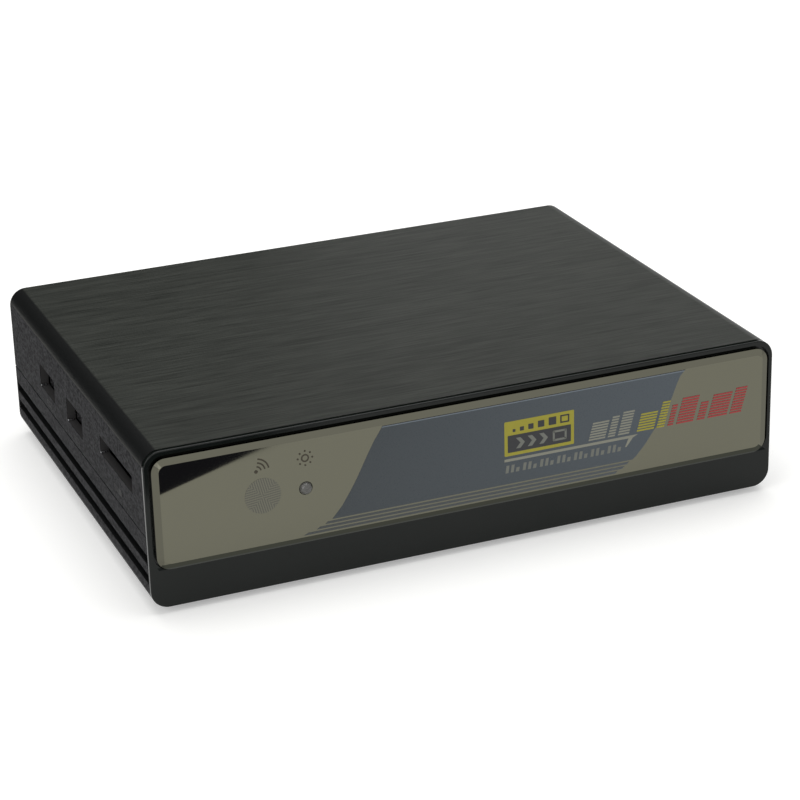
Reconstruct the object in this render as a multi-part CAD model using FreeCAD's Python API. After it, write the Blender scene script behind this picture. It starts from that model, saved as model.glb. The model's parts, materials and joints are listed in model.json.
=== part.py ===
"""Desktop video scaler switch: a low box with a mirror faceplate and rows of sockets.

Millimetres. X runs to the right as seen from the front, Y to the back, Z up.
The origin is under the middle of the whole object, on the surface that the feet rest on.
"""
import FreeCAD
import Part
import math
import os

# Case: two covers, split along the sides
body_width = 154.0
body_depth = 113.4
body_height = 37.3
edge_radius = 4.2
wall = 2.0
parting_height = 16.9
seam_height = 0.3
lip_height = 1.5
lip_thickness = 0.9
lip_root = 2.5
fit_gap = 0.1
lay_gap = 0.05
overrun = 1.0
same_place = 1e-6

# Long grooves along both sides of the bottom cover
groove_count = 2
groove_low = 5.8
groove_pitch = 4.65
groove_height = 2.35
groove_depth = 1.4
groove_end = 1.0
groove_backing = 1.0
rib_root = 0.5

# Front bezel and mirror faceplate
flange_thickness = 2.0
flange_face = 1.0
bezel_seam = 0.25
lap_thickness = 0.5
floor_thickness = 1.8
skirt_length = 3.0
skirt_thickness = 1.5
bezel_edge = 0.3
rim_width = 1.0
lower_band = 9.3
plate_gap = 0.7
plate_rest = 0.2
plate_thickness = 1.7
plate_proud = 0.9
plate_corner = 3.2
bevel_width = 1.5
bevel_depth = 0.5
tape_thickness = 0.2
clip_width = 8.0
clip_length = 1.6
clip_height = 0.7
clip_from_middle = 40.0

# Remote receiver and lamp behind the faceplate
eye_drop = 6.1
ir_from_left = 26.4
ir_hole_radius = 4.2
ir_filter_radius = 4.9
ir_filter_thickness = 1.0
receiver_width = 5.0
receiver_height = 7.0
receiver_depth = 3.0
receiver_dome = 2.3
receiver_dome_reach = 1.4
receiver_eye_drop = 2.8
leg_width = 0.5
leg_pitch = 2.54 / 2
leg_end = 0.8
leg_hole_radius = 0.4
led_from_ir = 10.0
led_radius = 1.5
led_reach = 1.3
led_flange_radius = 1.9
led_flange_thickness = 1.0
led_leg_pitch = 1.27
led_leg_bend = 3.0
holder_width = 4.5
holder_depth = 5.0
holder_wall = 0.6

# Main board, hung under the top cover with its parts facing down
board_thickness = 1.6
board_drop = 5.0
board_gap = 2.0
board_front_gap = 0.6
board_rear_gap = 0.4
boss_radius = 3.0
board_screw_radius = 1.1
board_head_radius = 2.4
board_head_height = 1.6
board_screw_bite = 4.0
board_screw_in_right = 11.0
board_screw_in_left = 22.0
board_screw_front_right = 16.0
board_screw_front_left = 42.0
board_screw_rear = 30.0

# Screws that close the case, from below through hollow pillars
pillar_radius = 3.5
pillar_from_side = 33.0
pillar_from_front = 13.0
pillar_from_rear = 25.4
pillar_shoulder = 3.0
pillar_above_board = 0.3
case_screw_radius = 1.25
case_head_radius = 2.6
case_head_height = 1.8
case_screw_bite = 4.0
screw_play = 0.03
screw_clearance = 0.35
head_clearance = 0.3
recess_width = 0.7
recess_length = 3.0
recess_depth = 0.8

# Feet and vent slots on the underside
foot_height = 1.5
foot_radius = 5.0
foot_recess = 0.6
foot_edge = 0.4
foot_from_side = 16.0
foot_from_front = 14.0
vent_count = 9
vent_pitch = 5.0
vent_width = 2.2
vent_length = 26.0

# Two data sockets and a card socket on the left side
slot_clearance = 0.12
socket_gap = 0.3
data_width = 13.0
data_height = 5.7
data_depth = 14.0
data_skin = 0.3
data_corner = 0.6
data_drop = 4.55
data_front_from_front = 56.05
data_rear_from_front = 80.35
tongue_width = 11.1
tongue_thickness = 1.8
tongue_rise = 1.1
tongue_set_back = 0.8
tongue_block = 4.0
leg_tab = 1.5
card_width = 24.0
card_play = 0.45
card_slot_height = 4.35
card_from_front = 21.75
card_drop = 2.4
card_cover_width = 28.0
card_cover_depth = 25.4
card_cover_height = 3.5
card_cavity_height = 2.3
card_skin = 0.3

# Rear panel and how its sockets share its width
panel_thickness = 1.5
panel_inset = 1.2
panel_groove = 1.0
panel_fence = 1.5
panel_hole_gap = 0.3
row_margin = 1.6

inlet_width = 9.0
inlet_height = 10.0
inlet_depth = 12.0
inlet_drop = 5.5
inlet_collar_radius = 4.0
inlet_reach = 0.4
inlet_bore_radius = 3.15
inlet_bore_depth = 9.5
inlet_pin_radius = 1.0
inlet_pin_set_back = 0.8

video_width = 15.0
video_height = 5.6
video_narrow = 3.0
video_side = 3.2
video_depth = 11.5
video_skin = 0.45
video_drop = 3.3
video_reach = 0.5
video_corner = 0.5
video_tongue_width = 11.6
video_tongue_thickness = 1.3
video_tongue_set_back = 1.0
video_block = 3.5

dsub_width = 16.9
dsub_height = 8.3
dsub_slant = 1.4
dsub_corner = 1.8
dsub_skin = 0.4
dsub_reach = 5.8
dsub_drop = 6.6
dsub_flange_width = 30.8
dsub_flange_height = 12.5
dsub_flange_thickness = 0.8
dsub_body_depth = 9.0
dsub_face_set_back = 0.5
dsub_rows = 3
dsub_columns = 5
dsub_pin_pitch = 2.29
dsub_row_pitch = 1.98
dsub_pin_radius = 0.5
dsub_pin_depth = 4.0
post_edge = 2.905
post_across = 4.8
post_length = 5.0
post_bore_radius = 1.25
post_bore_depth = 4.5
post_stub_radius = 1.4
post_stub_length = 5.0

audio_width = 6.4
audio_height = 5.6
audio_depth = 12.0
audio_drop = 2.9
audio_ring_radius = 3.0
audio_reach = 1.2
audio_bore_radius = 1.8
audio_bore_depth = 13.0

phono_columns = 3
phono_pitch = 11.8
phono_block_margin = 0.4
phono_block_depth = 9.5
phono_ring_radius = 4.8
phono_ring_thickness = 1.4
phono_upper_drop = 5.7
phono_floor_gap = 0.4
phono_sleeve_radius = 4.1
phono_sleeve_skin = 0.45
phono_reach = 9.0
phono_core_set_back = 0.6
phono_core_bore_radius = 1.65
phono_core_bore_depth = 8.0

# Push buttons: two in the right side, one in the rear panel
cap_length = 8.0
cap_height = 4.0
cap_proud = 0.6
cap_play = 0.15
cap_edge_slack = 0.01
cap_flange = 0.8
cap_flange_thickness = 0.9
cap_travel = 0.4
cap_drop = 3.0
cap_front_from_front = 52.0
cap_rear_from_front = 66.0
switch_width = 6.0
switch_depth = 3.6
switch_gap = 1.3
plunger_radius = 1.6
plunger_play = 0.1

power_size = 6.0
power_corner = 0.8
power_proud = 3.5
power_flange = 0.6
power_flange_thickness = 1.0
power_travel = 2.0
power_drop = 4.5
power_switch_size = 8.2
power_switch_depth = 9.0
power_stem_width = 2.6
power_stem_bite = 1.5
power_room = 0.3

# Electronics on the underside of the board: width, depth, height, then place
scaler_size = 24.0
scaler_height = 1.4
scaler_from_middle = 8.0
scaler_from_front = 52.0
pad_size = 22.0
pad_thickness = 0.5
sink_size = 36.0
sink_base = 2.0
sink_height = 8.0
sink_fin_count = 9
sink_fin_thickness = 1.2
memory_width = 8.0
memory_depth = 12.5
memory_height = 1.0
memory_pitch = 14.0
memory_from_front = 23.0
decoder_size = 16.0
decoder_height = 1.2
decoder_from_left = 42.0
decoder_from_front = 62.0
small_chip_width = 10.0
small_chip_depth = 6.0
small_chip_height = 1.5
small_chip_pitch = 18.0
small_chip_count = 3
small_chip_from_left = 66.0
small_chip_from_rear = 31.0
inductor_size = 8.0
inductor_height = 4.2
inductor_edge = 1.5
inductor_count = 3
inductor_pitch = 11.0
inductor_from_right = 28.0
inductor_from_front = 42.0
can_radius = 3.15
can_height = 7.7
can_base_height = 1.2
can_count = 4
can_from_memory = 1.35
can_from_right = 25.0
can_from_front = 26.0
crystal_length = 11.0
crystal_width = 4.6
crystal_height = 3.5
crystal_pitch = 18.0
crystal_from_middle = 8.0
crystal_from_front = 12.4

# Places that follow from the sizes above
half_width = body_width / 2
base_z = foot_height
top_z = base_z + body_height
parting_z = base_z + parting_height
front_reach = plate_proud + led_reach
rear_reach = phono_reach - panel_inset
front_y = -(body_depth + rear_reach - front_reach) / 2
rear_y = front_y + body_depth
lap_y = front_y + flange_face + bezel_seam
cover_front_y = front_y + flange_thickness
floor_y = front_y + plate_thickness - plate_proud + tape_thickness
floor_back_y = floor_y + floor_thickness
skirt_end_y = cover_front_y + skirt_length
panel_outer_y = rear_y - panel_inset
panel_inner_y = panel_outer_y - panel_thickness
inner_top_z = top_z - wall
inner_floor_z = base_z + wall
inner_x = half_width - wall
board_top_z = inner_top_z - board_drop
board_z = board_top_z - board_thickness
board_front_y = skirt_end_y + board_front_gap
board_rear_y = panel_inner_y - board_rear_gap
board_x = inner_x - board_gap
eye_z = board_z - eye_drop
ir_x = -half_width + ir_from_left
led_x = ir_x + led_from_ir
socket_x = -inner_x + socket_gap
pillar_top_z = board_top_z + pillar_above_board
rib_front_y = skirt_end_y + board_front_gap
fence_y = panel_inner_y - panel_fence
rib_rear_y = fence_y - board_rear_gap
scaler_y = front_y + scaler_from_front


def vec(x, y, z):
    """A point or direction."""
    return FreeCAD.Vector(x, y, z)


def place_on(axis, along):
    """How a flat outline's two coordinates become a point on the plane across an axis."""
    if axis == "x":
        return lambda u, v: vec(along, u, v)
    if axis == "y":
        return lambda u, v: vec(u, along, v)
    return lambda u, v: vec(u, v, along)


def run(axis, length):
    """A step of one length along an axis."""
    return {"x": vec(length, 0, 0), "y": vec(0, length, 0), "z": vec(0, 0, length)}[axis]


def block(x0, x1, y0, y1, z0, z1):
    """A box between two corners."""
    return Part.makeBox(x1 - x0, y1 - y0, z1 - z0, vec(x0, y0, z0))


def rod(axis, u, v, radius, start, end):
    """A round bar along an axis, from start to end."""
    return Part.makeCylinder(radius, end - start, place_on(axis, start)(u, v), run(axis, 1))


def rounded_wire(points, radius, place):
    """A closed outline through the points in order, with every corner rounded."""
    flat = [vec(u, v, 0) for u, v in points]
    arcs = []
    for i, corner in enumerate(flat):
        back = (flat[i - 1] - corner).normalize()
        ahead = (flat[(i + 1) % len(flat)] - corner).normalize()
        half = back.getAngle(ahead) / 2
        reach = radius / math.tan(half)
        inward = (back + ahead).normalize()
        start = corner + back * reach
        middle = corner + inward * (radius / math.sin(half) - radius)
        arcs.append([place(p.x, p.y) for p in (start, middle, corner + ahead * reach)])
    edges = []
    for i, (start, middle, end) in enumerate(arcs):
        edges.append(Part.Arc(start, middle, end).toShape())
        following = arcs[(i + 1) % len(arcs)][0]
        if (following - end).Length > same_place:
            edges.append(Part.LineSegment(end, following).toShape())
    return Part.Wire(edges)


def corners(u0, u1, v0, v1):
    """The four corners of a flat rectangle, in order."""
    return [(u0, v0), (u1, v0), (u1, v1), (u0, v1)]


def bar(axis, points, radius, start, end):
    """A straight bar along an axis with a rounded outline."""
    wire = rounded_wire(points, radius, place_on(axis, start))
    return Part.Face(wire).extrude(run(axis, end - start))


def body_bar(inset, start, end):
    """The case's own outline, drawn in by an inset, as a solid bar along Y."""
    outline = corners(-half_width + inset, half_width - inset, base_z + inset, top_z - inset)
    return bar("y", outline, edge_radius - inset, start, end)


def joined(shapes):
    """One solid made of several that touch or overlap."""
    return shapes[0].fuse(shapes[1:]).removeSplitter()


def mirrored(shape):
    """The same shape on the other side of the middle plane."""
    return shape.mirror(vec(0, 0, 0), vec(1, 0, 0))


def row(count, pitch, middle):
    """Evenly spaced places about a middle."""
    return [middle + (i - (count - 1) / 2) * pitch for i in range(count)]


def panel_row():
    """Middles of the rear sockets, sharing the panel's width with equal gaps."""
    widths = {
        "power": power_switch_size,
        "inlet": inlet_width,
        "video_out": video_width,
        "video_in": video_width,
        "dsub": dsub_flange_width,
        "audio": audio_width,
        "phono": phono_columns * phono_pitch + 2 * phono_block_margin,
    }
    free = 2 * (inner_x - groove_backing - row_margin) - sum(widths.values())
    gap = free / (len(widths) - 1)
    edge = inner_x - groove_backing - row_margin
    middles = {}
    for name, width in widths.items():
        middles[name] = edge - width / 2
        edge -= width + gap
    return middles


rear_x = panel_row()
phono_upper_z = board_z - phono_upper_drop
phono_lower_z = inner_floor_z + panel_groove + phono_floor_gap + phono_ring_radius
phono_places = [(x, z) for z in (phono_upper_z, phono_lower_z)
                for x in row(phono_columns, phono_pitch, rear_x["phono"])]
data_places = [front_y + data_front_from_front, front_y + data_rear_from_front]
cap_places = {"source": front_y + cap_front_from_front, "scale": front_y + cap_rear_from_front}
card_y = front_y + card_from_front
pillar_places = [(side * (half_width - pillar_from_side), y) for side in (-1, 1)
                 for y in (front_y + pillar_from_front, rear_y - pillar_from_rear)]
board_screw_places = [
    (half_width - board_screw_in_right, front_y + board_screw_front_right),
    (half_width - board_screw_in_right, rear_y - board_screw_rear),
    (-half_width + board_screw_in_left, front_y + board_screw_front_left),
    (-half_width + board_screw_in_left, rear_y - board_screw_rear),
]


def video_outline(x, z, inset):
    """The six-sided mouth of a digital video socket."""
    half = video_width / 2 - inset
    low = z - video_height / 2 + inset
    high = z + video_height / 2 - inset
    shoulder = high - video_side + inset
    narrow = half - video_narrow / 2
    return [(x - half, high), (x - half, shoulder), (x - narrow, low),
            (x + narrow, low), (x + half, shoulder), (x + half, high)]


def dsub_outline(inset):
    """The D-shaped mouth of the 15-way analogue video socket."""
    x = rear_x["dsub"]
    z = board_z - dsub_drop
    half = dsub_width / 2 - inset
    low = z - dsub_height / 2 + inset
    high = z + dsub_height / 2 - inset
    return [(x - half, high), (x - half + dsub_slant, low),
            (x + half - dsub_slant, low), (x + half, high)]


def post_places():
    """Middles of the two threaded posts beside the D-shaped socket."""
    return row(2, dsub_flange_width - 2 * post_edge, rear_x["dsub"])


def panel_holes():
    """Everything that passes through the rear panel, grown by its hole gap."""
    start = panel_inner_y - panel_thickness
    end = panel_outer_y + panel_thickness
    gap = panel_hole_gap
    holes = [bar("y", power_outline(cap_play), power_corner, start, end)]
    holes.append(rod("y", rear_x["inlet"], board_z - inlet_drop, inlet_collar_radius + gap, start, end))
    for name in ("video_out", "video_in"):
        outline = video_outline(rear_x[name], board_z - video_drop, -gap)
        holes.append(bar("y", outline, video_corner + gap, start, end))
    holes.append(bar("y", dsub_outline(-gap), dsub_corner + gap, start, end))
    for x in post_places():
        holes.append(rod("y", x, board_z - dsub_drop, post_stub_radius + gap, start, end))
    holes.append(rod("y", rear_x["audio"], board_z - audio_drop, audio_ring_radius + gap, start, end))
    for x, z in phono_places:
        holes.append(rod("y", x, z, phono_sleeve_radius + gap, start, end))
    return holes


def data_slots():
    """Cut-outs in the left wall for the two data sockets."""
    half_y = data_width / 2 + slot_clearance
    half_z = data_height / 2 + slot_clearance
    z = board_z - data_drop
    return [block(-half_width - wall, -inner_x + wall, y - half_y, y + half_y, z - half_z, z + half_z)
            for y in data_places]


def card_slot():
    """Cut-out in the left wall for a memory card."""
    half_y = card_width / 2 + card_play
    z = board_z - card_drop
    return block(-half_width - wall, -inner_x + wall, card_y - half_y, card_y + half_y,
                 z - card_slot_height / 2, z + card_slot_height / 2)


def cap_outline(y, extra):
    """Long round-ended outline of a side button, grown by an extra."""
    z = board_z - cap_drop
    half_y = cap_length / 2 + extra
    half_z = cap_height / 2 + extra
    return corners(y - half_y, y + half_y, z - half_z, z + half_z), half_z


def clip_pockets():
    """Pockets in both covers that the bezel's clips snap into."""
    pockets = []
    y0 = skirt_end_y - clip_length - fit_gap
    y1 = skirt_end_y + fit_gap
    depth = clip_height + fit_gap
    for x in (-clip_from_middle, clip_from_middle):
        x0 = x - clip_width / 2 - fit_gap
        x1 = x + clip_width / 2 + fit_gap
        pockets.append(block(x0, x1, y0, y1, inner_top_z - wall, inner_top_z + depth))
        pockets.append(block(x0, x1, y0, y1, inner_floor_z - depth, inner_floor_z + wall))
    return pockets


def cover_tube():
    """Both covers as one tube: a thin lap over the bezel, and a groove that holds the rear panel."""
    tube = body_bar(0, lap_y, rear_y)
    lap = body_bar(lap_thickness, lap_y - wall, cover_front_y)
    hollow = body_bar(wall, cover_front_y - wall, fence_y)
    window = body_bar(wall + panel_groove, fence_y - wall, rear_y + wall)
    groove = body_bar(wall, panel_inner_y - lay_gap, panel_outer_y + lay_gap)
    return tube.cut([lap, hollow, window, groove] + clip_pockets())


def half_space(z0, z1):
    """A slice of space between two heights, wider than the case."""
    return block(-body_width, body_width, front_y - wall, rear_y + wall, z0, z1)


def top_cover():
    """Upper shell: brushed top, round edges, socket side walls and bosses under the top."""
    shell = cover_tube().common(half_space(parting_z, top_z + wall))
    seam = half_space(parting_z, parting_z + seam_height)
    seam = seam.cut(body_bar(lap_thickness, front_y - body_depth, rear_y + body_depth))
    bosses = [rod("z", x, y, boss_radius, board_top_z, inner_top_z + wall / 2)
              for x, y in board_screw_places]
    bosses += [rod("z", x, y, pillar_radius, pillar_top_z, inner_top_z + wall / 2)
               for x, y in pillar_places]
    pilots = [rod("z", x, y, board_screw_radius + screw_play, board_top_z - wall,
                  board_top_z + board_screw_bite + screw_play) for x, y in board_screw_places]
    pilots += [rod("z", x, y, case_screw_radius + screw_play, pillar_top_z - wall,
                   pillar_top_z + case_screw_bite + screw_play) for x, y in pillar_places]
    holes = data_slots() + [card_slot()]
    for y in cap_places.values():
        outline, radius = cap_outline(y, cap_play)
        holes.append(bar("x", outline, radius, inner_x - wall, half_width + wall))
    return joined([shell] + bosses).cut(pilots + holes + [seam])


def side_grooves():
    """The long dark grooves in the left side."""
    grooves = []
    for i in range(groove_count):
        z = base_z + groove_low + i * groove_pitch
        grooves.append(block(-half_width - wall, -half_width + groove_depth,
                             front_y, rear_y - groove_end, z, z + groove_height))
    return grooves


def side_ribs():
    """Ribs behind the left grooves, and the lip that guides the top cover on."""
    ribs = []
    for i in range(groove_count):
        z = base_z + groove_low + i * groove_pitch
        ribs.append(block(-inner_x - rib_root, -inner_x + groove_backing, rib_front_y, rib_rear_y,
                          z - groove_backing, z + groove_height + groove_backing))
    lip_x = -inner_x + fit_gap + lip_thickness
    ribs.append(block(-inner_x - rib_root, lip_x, rib_front_y, rib_rear_y, parting_z - lip_root, parting_z))
    ribs.append(block(-inner_x + fit_gap, lip_x, rib_front_y, rib_rear_y,
                      parting_z - lip_root, parting_z + lip_height))
    return ribs


def bottom_cover():
    """Lower shell: grooved sides, screw pillars, foot recesses and vent slots."""
    shell = cover_tube().common(half_space(base_z - wall, parting_z))
    extras = []
    cuts = []
    for rib in side_ribs():
        extras += [rib, mirrored(rib)]
    for groove in side_grooves():
        cuts += [groove, mirrored(groove)]
    head_z = pillar_top_z - pillar_shoulder
    for x, y in pillar_places:
        extras.append(rod("z", x, y, pillar_radius, base_z + wall / 2, pillar_top_z))
        cuts.append(rod("z", x, y, case_head_radius + head_clearance, base_z - wall, head_z))
        cuts.append(rod("z", x, y, case_screw_radius + screw_clearance, base_z - wall, pillar_top_z + wall))
    for x, y in foot_places():
        cuts.append(rod("z", x, y, foot_radius + fit_gap, base_z - wall, base_z + foot_recess))
    for x in row(vent_count, vent_pitch, scaler_from_middle):
        outline = corners(x - vent_width / 2, x + vent_width / 2,
                          scaler_y - vent_length / 2, scaler_y + vent_length / 2)
        cuts.append(bar("z", outline, vent_width / 2, base_z - wall, inner_floor_z + wall))
    for y in data_places:
        half = data_width / 2 + slot_clearance
        z = board_z - data_drop - data_height / 2 - slot_clearance
        cuts.append(block(-inner_x, -inner_x + data_depth, y - half, y + half, z, board_z))
    for y in cap_places.values():
        half = max(cap_length / 2 + cap_flange, switch_width / 2) + cap_play
        z = board_z - max(cap_drop + cap_height / 2 + cap_flange, switch_width) - cap_play
        cuts.append(block(inner_x - data_depth, inner_x, y - half, y + half, z, board_z))
    return joined([shell] + extras).cut(cuts)


def foot_places():
    """Middles of the four feet."""
    x = half_width - foot_from_side
    return [(side * x, y) for side in (-1, 1)
            for y in (front_y + foot_from_front, rear_y - foot_from_front)]


def feet():
    """Four round rubber feet, glued into shallow recesses."""
    made = []
    for x, y in foot_places():
        foot = rod("z", x, y, foot_radius, 0, base_z + foot_recess)
        lower = [e for e in foot.Edges if e.BoundBox.ZMax < same_place]
        made.append(foot.makeChamfer(foot_edge, lower))
    return Part.makeCompound(made)


def cross_recess(x, y, z0, z1):
    """A cross-shaped driver recess."""
    half = recess_length / 2
    thin = recess_width / 2
    return joined([block(x - half, x + half, y - thin, y + thin, z0, z1),
                   block(x - thin, x + thin, y - half, y + half, z0, z1)])


def screw(x, y, seat_z, head_radius, head_height, shank_radius, shank_length):
    """A screw driven upwards, with its head below the seat."""
    head = rod("z", x, y, head_radius, seat_z - head_height, seat_z)
    shank = rod("z", x, y, shank_radius, seat_z - head_height / 2, seat_z + shank_length)
    recess = cross_recess(x, y, seat_z - head_height, seat_z - head_height + recess_depth)
    return joined([head, shank]).cut(recess)


def case_screws():
    """Four screws that pull the two covers together."""
    return Part.makeCompound([
        screw(x, y, pillar_top_z - pillar_shoulder, case_head_radius, case_head_height,
              case_screw_radius, pillar_shoulder + case_screw_bite) for x, y in pillar_places])


def board_screws():
    """Four screws that hold the main board up to the top cover's bosses."""
    return Part.makeCompound([
        screw(x, y, board_z, board_head_radius, board_head_height,
              board_screw_radius, board_thickness + board_screw_bite) for x, y in board_screw_places])


def plate_corners(inset):
    """Corners of the faceplate's outline, drawn in by an inset."""
    side = half_width - rim_width - plate_gap - inset
    high = top_z - rim_width - plate_gap - inset
    return corners(-side, side, base_z + lower_band + inset, high)


def faceplate():
    """Mirror faceplate with a shallow bevel all round and a hole for the lamp."""
    face_y = front_y - plate_proud
    edge_y = face_y + bevel_depth
    back_y = face_y + plate_thickness
    slab = bar("y", plate_corners(0), plate_corner, edge_y, back_y)
    outer = rounded_wire(plate_corners(0), plate_corner, place_on("y", edge_y))
    inner = rounded_wire(plate_corners(bevel_width), plate_corner - bevel_width, place_on("y", face_y))
    bevel = Part.makeLoft([outer, inner], True, True)
    hole = rod("y", led_x, eye_z, led_radius + fit_gap, face_y - overrun, back_y + overrun)
    return joined([slab, bevel]).cut(hole)


def faceplate_tape():
    """Adhesive sheet between the faceplate and the bezel floor."""
    inset = bevel_width
    y = floor_y - tape_thickness
    sheet = bar("y", plate_corners(inset), plate_corner - inset, y, floor_y)
    windows = [rod("y", ir_x, eye_z, ir_filter_radius + fit_gap, y - overrun, floor_y + overrun),
               rod("y", led_x, eye_z, led_radius + 2 * fit_gap, y - overrun, floor_y + overrun)]
    return sheet.cut(windows)


def skirt_bar(inset, start, end):
    """The bezel's plug, which slides into the covers."""
    return body_bar(wall + fit_gap + inset, start, end)


def bezel_clips():
    """Small wedges on the skirt that snap into the covers' pockets."""
    clips = []
    for x in (-clip_from_middle, clip_from_middle):
        for face_z, up in ((inner_top_z - fit_gap, 1), (inner_floor_z + fit_gap, -1)):
            start = vec(x - clip_width / 2, skirt_end_y - clip_length, face_z)
            rise = vec(0, 0, up * clip_height)
            sink = vec(0, 0, -up * skirt_thickness / 2)
            back = vec(0, clip_length, 0)
            outline = Part.makePolygon([start + sink, start + rise, start + back,
                                        start + back + sink, start + sink])
            clips.append(Part.Face(outline).extrude(vec(clip_width, 0, 0)))
    return clips


def front_bezel():
    """Front frame: thin rim, plain lower band, pocket for the faceplate and a skirt with clips."""
    flange = body_bar(0, front_y, front_y + flange_face)
    rim = [e for e in flange.Edges if e.BoundBox.YMax < front_y + same_place]
    flange = flange.makeFillet(bezel_edge, rim)
    core = body_bar(lap_thickness + fit_gap, front_y + flange_face / 2, cover_front_y)
    plug = skirt_bar(0, front_y + flange_thickness / 2, skirt_end_y)
    hollow = skirt_bar(skirt_thickness, floor_back_y, skirt_end_y + wall)
    side = half_width - rim_width
    pocket_outline = corners(-side, side, base_z + lower_band - plate_rest, top_z - rim_width)
    pocket = bar("y", pocket_outline, plate_corner + plate_gap, front_y - wall, floor_y)
    cuts = [hollow, pocket,
            rod("y", ir_x, eye_z, ir_filter_radius + fit_gap, floor_y - overrun,
                floor_y + ir_filter_thickness),
            rod("y", ir_x, eye_z, ir_hole_radius, floor_y - overrun, floor_back_y + overrun),
            rod("y", led_x, eye_z, led_radius + 2 * fit_gap, floor_y - overrun, floor_back_y + overrun)]
    return joined([flange, core, plug] + bezel_clips()).cut(cuts)


def ir_filter():
    """Dark disc that lets only remote-control light through."""
    return rod("y", ir_x, eye_z, ir_filter_radius, floor_y, floor_y + ir_filter_thickness)


def receiver_front_y():
    """Front face of the remote receiver's body."""
    return floor_back_y + lay_gap + receiver_dome_reach


def ir_receiver():
    """Remote receiver with a domed eye and three legs up to the board."""
    y0 = receiver_front_y()
    y1 = y0 + receiver_depth
    z0 = eye_z - receiver_eye_drop
    z1 = z0 + receiver_height
    body = block(ir_x - receiver_width / 2, ir_x + receiver_width / 2, y0, y1, z0, z1)
    ball_radius = (receiver_dome ** 2 + receiver_dome_reach ** 2) / (2 * receiver_dome_reach)
    ball = Part.makeSphere(ball_radius, vec(ir_x, y0 - receiver_dome_reach + ball_radius, eye_z))
    dome = ball.common(rod("y", ir_x, eye_z, receiver_dome,
                           y0 - receiver_dome_reach, y0 + receiver_depth / 2))
    legs = [block(x - leg_width / 2, x + leg_width / 2, y1 - 2 * leg_width, y1 - leg_width,
                  z1 - leg_width, board_top_z + leg_end) for x in receiver_legs()]
    return joined([body, dome] + legs)


def receiver_legs():
    """Middles of the receiver's three legs."""
    return row(3, leg_pitch, ir_x)


def led_legs():
    """Middles of the lamp's two legs."""
    return row(2, led_leg_pitch, led_x)


def led_back_y():
    """Back face of the lamp's flange."""
    return floor_back_y + lay_gap + led_flange_thickness


def status_led():
    """Clear round lamp whose dome stands out of the faceplate."""
    tip_y = front_y - front_reach
    back_y = led_back_y()
    lens = rod("y", led_x, eye_z, led_radius, tip_y + led_radius, back_y)
    dome = Part.makeSphere(led_radius, vec(led_x, tip_y + led_radius, eye_z))
    flange = rod("y", led_x, eye_z, led_flange_radius, back_y - led_flange_thickness, back_y)
    legs = []
    for x in led_legs():
        half = leg_width / 2
        bend_y = back_y + led_leg_bend
        legs.append(block(x - half, x + half, back_y - half, bend_y, eye_z - half, eye_z + half))
        legs.append(block(x - half, x + half, bend_y - leg_width, bend_y,
                          eye_z - half, board_top_z + leg_end))
    return joined([lens, dome, flange] + legs)


def led_holder():
    """Black block that holds the lamp at its height under the board."""
    y0 = led_back_y() + lay_gap
    half = holder_width / 2
    body = block(led_x - half, led_x + half, y0, y0 + holder_depth, eye_z - half, board_z)
    inner = half - holder_wall
    channel = block(led_x - inner, led_x + inner, y0 - overrun, y0 + led_leg_bend + holder_wall,
                    eye_z - leg_width, board_z + overrun)
    return body.cut(channel)


def main_board():
    """Printed circuit board with holes for screws, pillars and legs."""
    board = block(-board_x, board_x, board_front_y, board_rear_y, board_z, board_top_z)
    z0 = board_z - overrun
    z1 = board_top_z + overrun
    holes = [rod("z", x, y, pillar_radius + head_clearance, z0, z1) for x, y in pillar_places]
    holes += [rod("z", x, y, board_screw_radius + screw_clearance, z0, z1) for x, y in board_screw_places]
    receiver_y = receiver_front_y() + receiver_depth - leg_width - leg_width / 2
    led_y = led_back_y() + led_leg_bend - leg_width / 2
    holes += [rod("z", x, receiver_y, leg_hole_radius, z0, z1) for x in receiver_legs()]
    holes += [rod("z", x, led_y, leg_hole_radius, z0, z1) for x in led_legs()]
    return board.cut(holes)


def hung(x, y, width, depth, height, top=None):
    """A flat piece hanging under the board, or under a given height."""
    high = board_z if top is None else top
    return block(x - width / 2, x + width / 2, y - depth / 2, y + depth / 2, high - height, high)


def scaler_chip():
    """The video processor."""
    return hung(scaler_from_middle, scaler_y, scaler_size, scaler_size, scaler_height)


def thermal_pad():
    """Soft pad between the processor and its heat sink."""
    top = board_z - scaler_height
    return hung(scaler_from_middle, scaler_y, pad_size, pad_size, pad_thickness, top)


def heat_sink():
    """Finned heat sink, pointing down towards the vent slots."""
    top = board_z - scaler_height - pad_thickness
    base = hung(scaler_from_middle, scaler_y, sink_size, sink_size, sink_base, top)
    reach = (sink_size - sink_fin_thickness) / (sink_fin_count - 1)
    fins = [hung(x, scaler_y, sink_fin_thickness, sink_size, sink_height, top)
            for x in row(sink_fin_count, reach, scaler_from_middle)]
    return joined([base] + fins)


def memory_chips():
    """Two memory chips in front of the processor."""
    y = front_y + memory_from_front
    return Part.makeCompound([hung(x, y, memory_width, memory_depth, memory_height)
                              for x in row(2, memory_pitch, scaler_from_middle)])


def decoder_chip():
    """Media decoder beside the data sockets."""
    x = -half_width + decoder_from_left
    return hung(x, front_y + decoder_from_front, decoder_size, decoder_size, decoder_height)


def small_chips():
    """A row of small chips that serve the rear sockets."""
    y = rear_y - small_chip_from_rear
    first = -half_width + small_chip_from_left
    return Part.makeCompound([hung(first + i * small_chip_pitch, y, small_chip_width, small_chip_depth,
                                   small_chip_height) for i in range(small_chip_count)])


def power_inductors():
    """Square inductors of the power supply."""
    made = []
    x = half_width - inductor_from_right
    for i in range(inductor_count):
        y = front_y + inductor_from_front + i * inductor_pitch
        half = inductor_size / 2
        made.append(bar("z", corners(x - half, x + half, y - half, y + half), inductor_edge,
                        board_z - inductor_height, board_z))
    return Part.makeCompound(made)


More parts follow.
